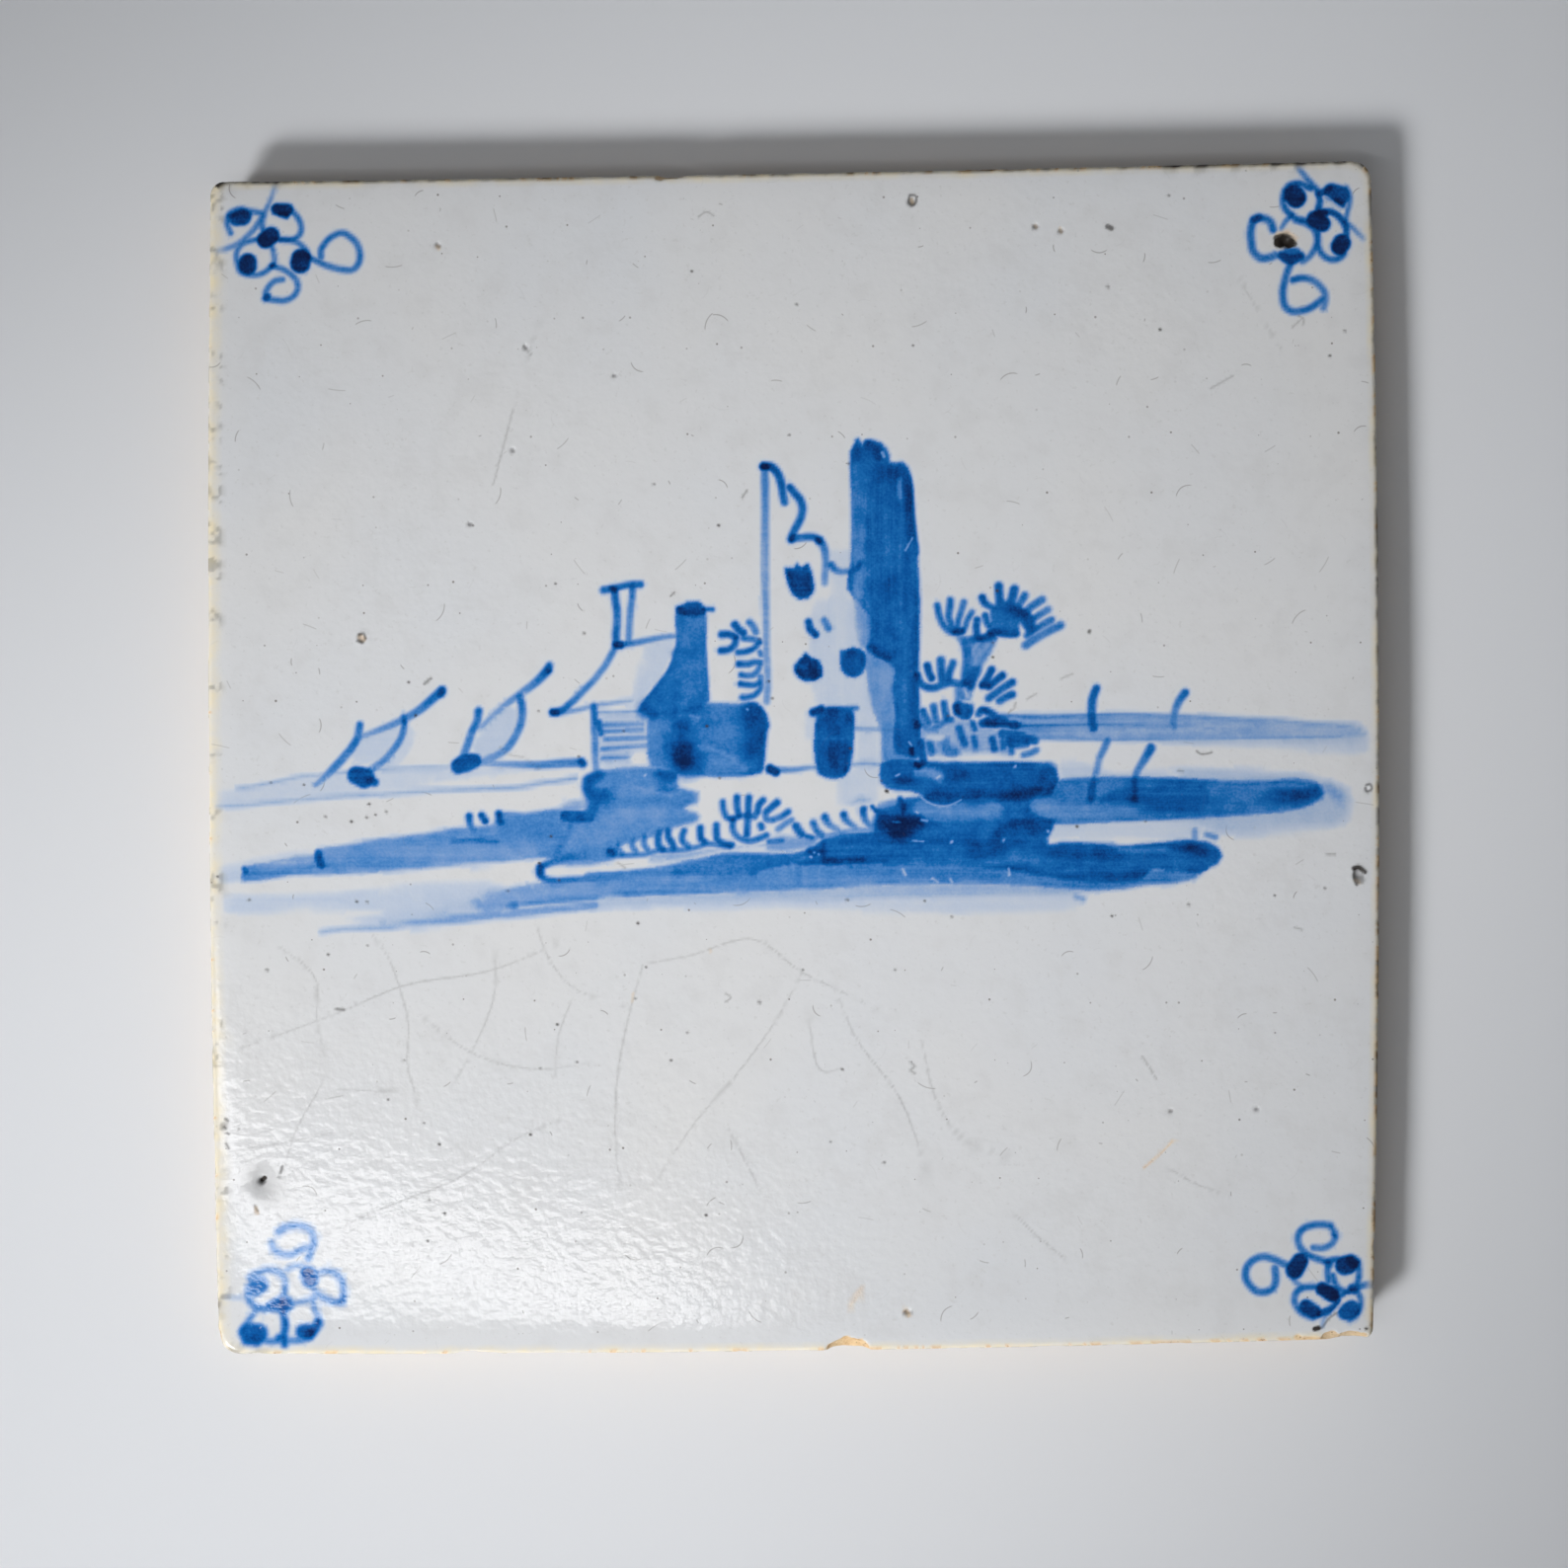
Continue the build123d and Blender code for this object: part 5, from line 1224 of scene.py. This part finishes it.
# Painted shade with grime: a brown darkening runs all along the arris at the head and the right,
# the sides away from the light, thicker where it is rough
at_head, at_right = up > np.abs(across), across > np.abs(up)
head_or_right = np.maximum(ease(edge_y - 0.995 * half_tall + 3.2, 0, 1.2) * at_head, at_right)
rough_head = ease(-edge_x, 55.5, 58) + ease(edge_x, 40.5, 43)
rough_head = np.clip(rough_head, 0, 1) * at_head
grime_and_shade_mottle = mottle(edge_x, edge_y, 1.4, 60) * 0.6 + mottle(x, y, 0.5, 61) * 0.4
shade_and_grime = 0.22 + 0.6 * ease(grime_and_shade_mottle + 0.25 * rough_head, 0.42, 0.8)
# This lays the painted shade and the grime of the head and the right on to the arris
soot_and_shade += ease(past_face, -0.1, 0.6) * head_or_right * shade_and_grime
soot_and_shade += ease(past_face, -1.0, 0.8) * rough_head * ease(grime_and_shade_mottle, 0.5, 0.75) * 0.5
soot_and_shade += ease(past_face, -1.4, -0.7) * on_left * ease(grime_and_shade_mottle, 0.62, 0.78) * 0.4
foot_corner = ease(-edge_x - edge_y, 122, 127)
soot_and_shade += ease(past_face, -0.6, 0.8) * foot_corner * ease(grime_and_shade_mottle, 0.35, 0.7) * 0.5
# It thins out quickly down the sides, which sat in mortar
soot_and_shade = np.clip(soot_and_shade, 0, 1) * (1 - 0.85 * ease(side_share, 0.0, 0.3))

# Now the surface becomes a mesh: squares of the grid, small where the shape or the painting
# changes and large where they don't, and no square beside one more than twice its size.
finest_band = 8  # squares of the grid along the back's edge that stay at the edge's own size
edge_level = 2
levels = 6


def bend(channel, size):
    """How far a channel leaves the straight run between the corners of each block of squares."""
    corner = channel[::size, ::size]
    t = np.arange(size) / size
    rows = (corner[:-1, None] * (1 - t)[:, None] + corner[1:, None] * t[:, None]).reshape(steps, -1)
    full = (rows[:, :-1, None] * (1 - t) + rows[:, 1:, None] * t).reshape(steps, steps)
    blocks = np.abs(channel[:-1, :-1] - full).reshape(steps // size, size, steps // size, size)
    return blocks.max(axis=(1, 3))


def paired(flags):
    """True for each block of two by two in which any is."""
    n = len(flags) // 2
    return flags.reshape(n, 2, n, 2).any(axis=(1, 3))


def spread_out(flags):
    """True next to a true square too, corner to corner."""
    wide = np.pad(flags, 1)
    wide = wide[:-2] | wide[1:-1] | wide[2:]
    return wide[:, :-2] | wide[:, 1:-1] | wide[:, 2:]


def patchwork(channels, tolerance):
    """Triangles of the unrolled surface, as numbers of its grid points.

    A block splits where a channel bends in it by more than its tolerance, where a part of it
    splits, or where it touches a part of a neighbour that does. A block with finer
    neighbours has their points on its rim too, and fans out from one of them.
    """
    split = [np.zeros((steps, steps), bool)]
    for level in range(1, levels):
        size = 2**level
        bends = [bend(channel, size) / most for channel, most in zip(channels, tolerance)]
        worst = np.max(bends, axis=0)
        rim = np.arange(steps // size) * size
        rim = np.minimum(rim, steps - size - rim)
        rim = np.minimum(rim[:, None], rim[None, :])
        wanted = (worst > 1) & (rim >= (finest_band if level <= edge_level else 0))
        if level > edge_level:
            wanted |= rim == 0
        split.append(wanted | paired(spread_out(split[-1])))
    triangles = []
    there = np.ones_like(split[-1])
    for level in range(levels - 1, -1, -1):
        size = 2**level
        leaf = there & ~split[level]
        finer = np.pad(there & split[level], 1)
        rows, columns = np.nonzero(leaf)
        mask = (
            finer[rows, columns + 1] * 1 + finer[rows + 1, columns + 2] * 2
            + finer[rows + 2, columns + 1] * 4 + finer[rows + 1, columns] * 8
        )
        for kind in range(16):
            here = mask == kind
            if not here.any():
                continue
            rim_points = [(0, 0), (1, 0), (2, 0), (2, 1), (2, 2), (1, 2), (0, 2), (0, 1)]
            kept = [k for k in range(8) if k % 2 == 0 or kind >> (k // 2) & 1]
            first = next((k for k in kept if k % 2), 0)
            kept = [k for k in kept if k >= first] + [k for k in kept if k < first]
            number = [
                (rows[here] * size + rim_points[k][1] * size // 2) * (steps + 1)
                + columns[here] * size + rim_points[k][0] * size // 2
                for k in kept
            ]
            for second, third in zip(number[1:], number[2:]):
                triangles.append(np.stack([number[0], second, third], axis=1))
        if level:
            there = np.kron(there & split[level], np.ones((2, 2), bool))
    return np.concatenate(triangles)


# Beside each channel stands how far it may leave the straight run: millimetres, then shares.
front = patchwork(
    [x, y, height, cobalt, soot_and_shade, bare, thin_glaze],
    [0.1, 0.1, 0.04, 0.09, 0.16, 0.35, 0.5],
)
# The back is the same square once more, drawn in from the side's foot: flat, as it lay drying.
inwards = ring / square_half
back_inset = inside_solid + solid_thickness * math.tan(undercut_lean) + back_round
rim_scale = 1 - back_inset / half_face
back_x, back_y = edge_x * inwards * rim_scale, edge_y * inwards * rim_scale
back_height = 0.12 * mottle(across, up, 9.0, 48) * np.clip((1 - inwards) * 8, 0, 1)
back =patchwork([back_x, back_y, back_height], [0.3, 0.3, 0.02])[:, ::-1]
rim_point = (ring > square_half - cell / 2).ravel()
back = np.where(rim_point[back], back, back + x.size)

used, corner_of = np.unique(np.concatenate([front, back]), return_inverse=True)
corner_of = corner_of.reshape(-1, 3)
places = np.stack([
    np.concatenate([x.ravel(), back_x.ravel()])[used] - outline_middle[0],
    np.concatenate([y.ravel(), back_y.ravel()])[used] - outline_middle[1],
    np.concatenate([height.ravel(), back_height.ravel()])[used],
], axis=1)

# The look of the tile, from what was worked out above: cobalt and its depth, soot with painted
# shade, bare clay and the thin glaze of the arris. The fine grain of each is left to noise in the
# shader.
tile_look, nodes, shader = new_material("tin_glazed_earthenware")


def put(kind, settings=None, **sockets):
    """Adds a shader node. Its sockets are given by name, each a value or a socket to join to."""
    made = nodes.nodes.new("ShaderNode" + kind)
    for name, value in (settings or {}).items():
        setattr(made, name, value)
    for name, value in sockets.items():
        socket = made.inputs[int(name[1:]) if name[0] == "_" else name]
        if isinstance(value, bpy.types.NodeSocket):
            nodes.links.new(value, socket)
        else:
            socket.default_value = value
    return made


def sums(operation, *values):
    """One step of arithmetic on numbers or sockets."""
    numbered = {f"_{k}": value for k, value in enumerate(values)}
    return put("Math", {"operation": operation}, **numbered).outputs[0]


def times(first, second):
    """The product of two numbers or sockets."""
    return sums("MULTIPLY", first, second)


def plus(first, second):
    """The sum of two numbers or sockets."""
    return sums("ADD", first, second)


def laid_over(share, under, over):
    """A colour over another: the lower one at a share of 0, the upper one at 1."""
    return put("Mix", {"data_type": "RGBA"}, _0=share, _6=under, _7=over).outputs[2]


def eased(value, low, high, at_low=0.0, at_high=1.0):
    """A value turned into another range with a smooth step, and held at its ends."""
    smooth = {"interpolation_type": "SMOOTHSTEP"}
    return put("MapRange", smooth, _0=value, _1=low, _2=high, _3=at_low, _4=at_high).outputs[0]


def painted(name):
    """The value of one of the tile's own channels."""
    return put("Attribute", {"attribute_name": name}).outputs["Fac"]


tile_place = put("TexCoord").outputs["Object"]


def grain(size_mm, detail=2.0, roughness=0.5, stretch=(1, 1, 1)):
    """Noise of a real size in millimetres, longer along the axes that are stretched."""
    scale = tuple(1000 / size_mm / s for s in stretch)
    place = put("Mapping", Vector=tile_place, Scale=scale).outputs[0]
    return put("TexNoise", Vector=place, Scale=1.0, Detail=detail, Roughness=roughness).outputs[0]


# Glaze: bluish white, a little warmer and greyer in clouds, with pin-prick specks
warm_white, cool_white = linear(214, 213, 212), linear(207, 210, 215)
cloud_grey, speck_grey = linear(198, 198, 199), linear(190, 190, 190)
glaze = laid_over(grain(22.0, 2.0), warm_white, cool_white)
glaze = laid_over(eased(grain(3.0, 3.0), 0.45, 0.75, 0.0, 0.3), glaze, cloud_grey)
glaze = laid_over(eased(grain(0.5, 2.0), 0.62, 0.75, 0.0, 0.35), glaze, speck_grey)


def scattered(cell_mm, shift):
    """One spot at random in each cell of a plane net. It gives the place as seen from the
    nearest spot, turned at random, in millimetres, with three random numbers of that spot."""
    per_cell = 1000 / cell_mm
    place = put(
        "Mapping", Vector=tile_place, Location=(shift, shift, 0), Scale=(per_cell, per_cell, 0)
    ).outputs[0]
    spots = put("TexVoronoi", {"voronoi_dimensions": "2D"}, Vector=place, Scale=1.0)
    gap = put("VectorMath", {"operation": "SUBTRACT"}, _0=place, _1=spots.outputs["Position"])
    chance = put("SeparateColor", Color=spots.outputs["Color"]).outputs
    angle = times(chance[0], full_turn)
    turned = put("VectorRotate", {"rotation_type": "Z_AXIS"}, Vector=gap.outputs[0], Angle=angle)
    grown = put("VectorMath", {"operation": "SCALE"}, _0=turned.outputs[0], Scale=cell_mm)
    return put("SeparateXYZ", Vector=grown.outputs[0]).outputs, chance


# Short curved hair scratches, grey with dirt, and pin-pricks where bubbles broke
full_turn = 6.28
scratch_cell, prick_cell = 6.5, 3.3  # millimetres for each
(run_on, aside, _), chance = scattered(scratch_cell, 0.3)
bowed = plus(aside, times(times(run_on, run_on), sums("SUBTRACT", chance[1], 0.5)))
hair = eased(sums("ABSOLUTE", bowed), 0.03, 0.1, 1.0, 0.0)
fades_from, gone_at = times(chance[2], 0.9), plus(chance[2], 0.2)
hair = times(hair, eased(sums("ABSOLUTE", run_on), fades_from, gone_at, 1.0, 0.0))
hair = times(hair, eased(chance[1], 0.2, 0.9, 0.05, 0.5))
(run_on, aside, _), chance = scattered(prick_cell, 5.1)
off = sums("POWER", plus(times(run_on, run_on), times(aside, aside)), 0.5)
prick_size = times(chance[2], 0.1)
prick = eased(off, prick_size, plus(prick_size, 0.08), 1.0, 0.0)
prick = times(prick, eased(chance[1], 0.6, 1.0, 0.0, 0.8))
marks = times(sums("MAXIMUM", hair, prick), eased(painted("cobalt"), 0.05, 0.3, 1.0, 0.15))

# Cobalt: light blue where thin, nearly black where it pooled, with the brush's hair lines
cobalt_shades = [
    (0, (213, 214, 216)), (0.12, (186, 197, 214)), (0.22, (163, 181, 208)), (0.35, (120, 155, 203)),
    (0.5, (76, 132, 195)), (0.65, (20, 105, 178)), (0.8, (0, 83, 156)), (0.95, (0, 60, 126)),
    (1.1, (0, 37, 90)), (1.3, (0, 22, 66)),
]
deepest = cobalt_shades[-1][0]
depth_of_blue = painted("cobalt")
hairs_across, hairs_up = [grain(0.7, 3.0, 0.6, way) for way in ((20, 1, 1), (1, 20, 1))]
hairs = laid_over(painted("upright"), hairs_across, hairs_up)
strength = eased(grain(13.0), 0.42, 0.62, 0.02, 0.09)
hairs = times(eased(hairs, 0.3, 0.7, -1.0, 1.0), strength)
fine, coarse = grain(0.28, 2.0), grain(1.6, 3.0)
fleck = plus(eased(fine, 0.3, 0.7, 0.94, 1.06), eased(coarse, 0.3, 0.7, -0.07, 0.07))
depth_of_blue = times(depth_of_blue, plus(hairs, fleck))
blue = put("ValToRGB", Fac=sums("DIVIDE", depth_of_blue, deepest))
for stop, (depth, shade) in enumerate(cobalt_shades):
    if stop > 1:
        blue.color_ramp.elements.new(depth / deepest)
    blue.color_ramp.elements[stop].position = depth / deepest
    blue.color_ramp.elements[stop].color = linear(*shade)
face_colour = laid_over(eased(depth_of_blue, 0.0, 0.09), glaze, blue.outputs[0])
# Thin glaze on the arris lets the clay's warmth through
warmth = times(painted("thin_glaze"), eased(grain(1.6, 3.0), 0.25, 0.75, 0.4, 1.0))
warm_glaze, old_dirt = linear(226, 214, 184), linear(96, 90, 84)
face_colour = laid_over(warmth, face_colour, warm_glaze)
face_colour = laid_over(marks, face_colour, old_dirt)
# Clay: buff and paler in grains, with patches of old lime and dark grit
buff, pale_buff = linear(204, 167, 122), linear(225, 198, 155)
old_lime, dark_grit = linear(200, 187, 166), linear(120, 84, 60)
clay = laid_over(eased(grain(0.9, 4.0), 0.25, 0.75), buff, pale_buff)
clay = laid_over(eased(grain(8.0, 5.0), 0.35, 0.75, 0.0, 0.6), clay, old_lime)
clay = laid_over(eased(grain(0.35, 2.0), 0.62, 0.72, 0.0, 0.8), clay, dark_grit)
colour = laid_over(painted("bare"), face_colour, clay)
# Soot, iron specks and painted shade lie over both
soot_and_shade_share, soot_and_shade_black = painted("soot_and_shade"), linear(40, 34, 30)
colour = laid_over(soot_and_shade_share, colour, soot_and_shade_black)
nodes.links.new(colour, shader.inputs["Base Color"])
glaze_roughness, clay_roughness = (0.09, 0.09, 0.09, 1), (0.85, 0.85, 0.85, 1)
dull = sums("MAXIMUM", painted("bare"), times(soot_and_shade_share, 0.6))
roughness = laid_over(dull, glaze_roughness, clay_roughness)
nodes.links.new(roughness, shader.inputs["Roughness"])
shader.inputs["Specular IOR Level"].default_value = 0.3
# Skin: the glaze undulates like an orange's peel, and the clay is gritty
peel = put("Bump", Strength=0.4, Distance=0.0001, Height=grain(1.1, 2.0))
grit = put(
    "Bump", Strength=painted("bare"), Distance=0.00015, Height=grain(0.5, 4.0, 0.6),
    Normal=peel.outputs[0],
)
nodes.links.new(grit.outputs[0], shader.inputs["Normal"])

tile = mesh_object("delft_tile", places * MM, corner_of, tile_look)
for name, channel, behind in (
    ("cobalt", cobalt, 0), ("upright", upright, 0), ("soot_and_shade", soot_and_shade, 0), ("bare", bare, 1),
    ("thin_glaze", thin_glaze, 1),
):
    both = np.concatenate([channel.ravel(), np.full(x.size, behind)])[used]
    attribute = tile.data.attributes.new(name, "FLOAT", "POINT")
    attribute.data.foreach_set("value", both.astype(np.float32))
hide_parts("tile")
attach(tile, "root")

bpy.context.scene.view_settings.view_transform = "Standard"
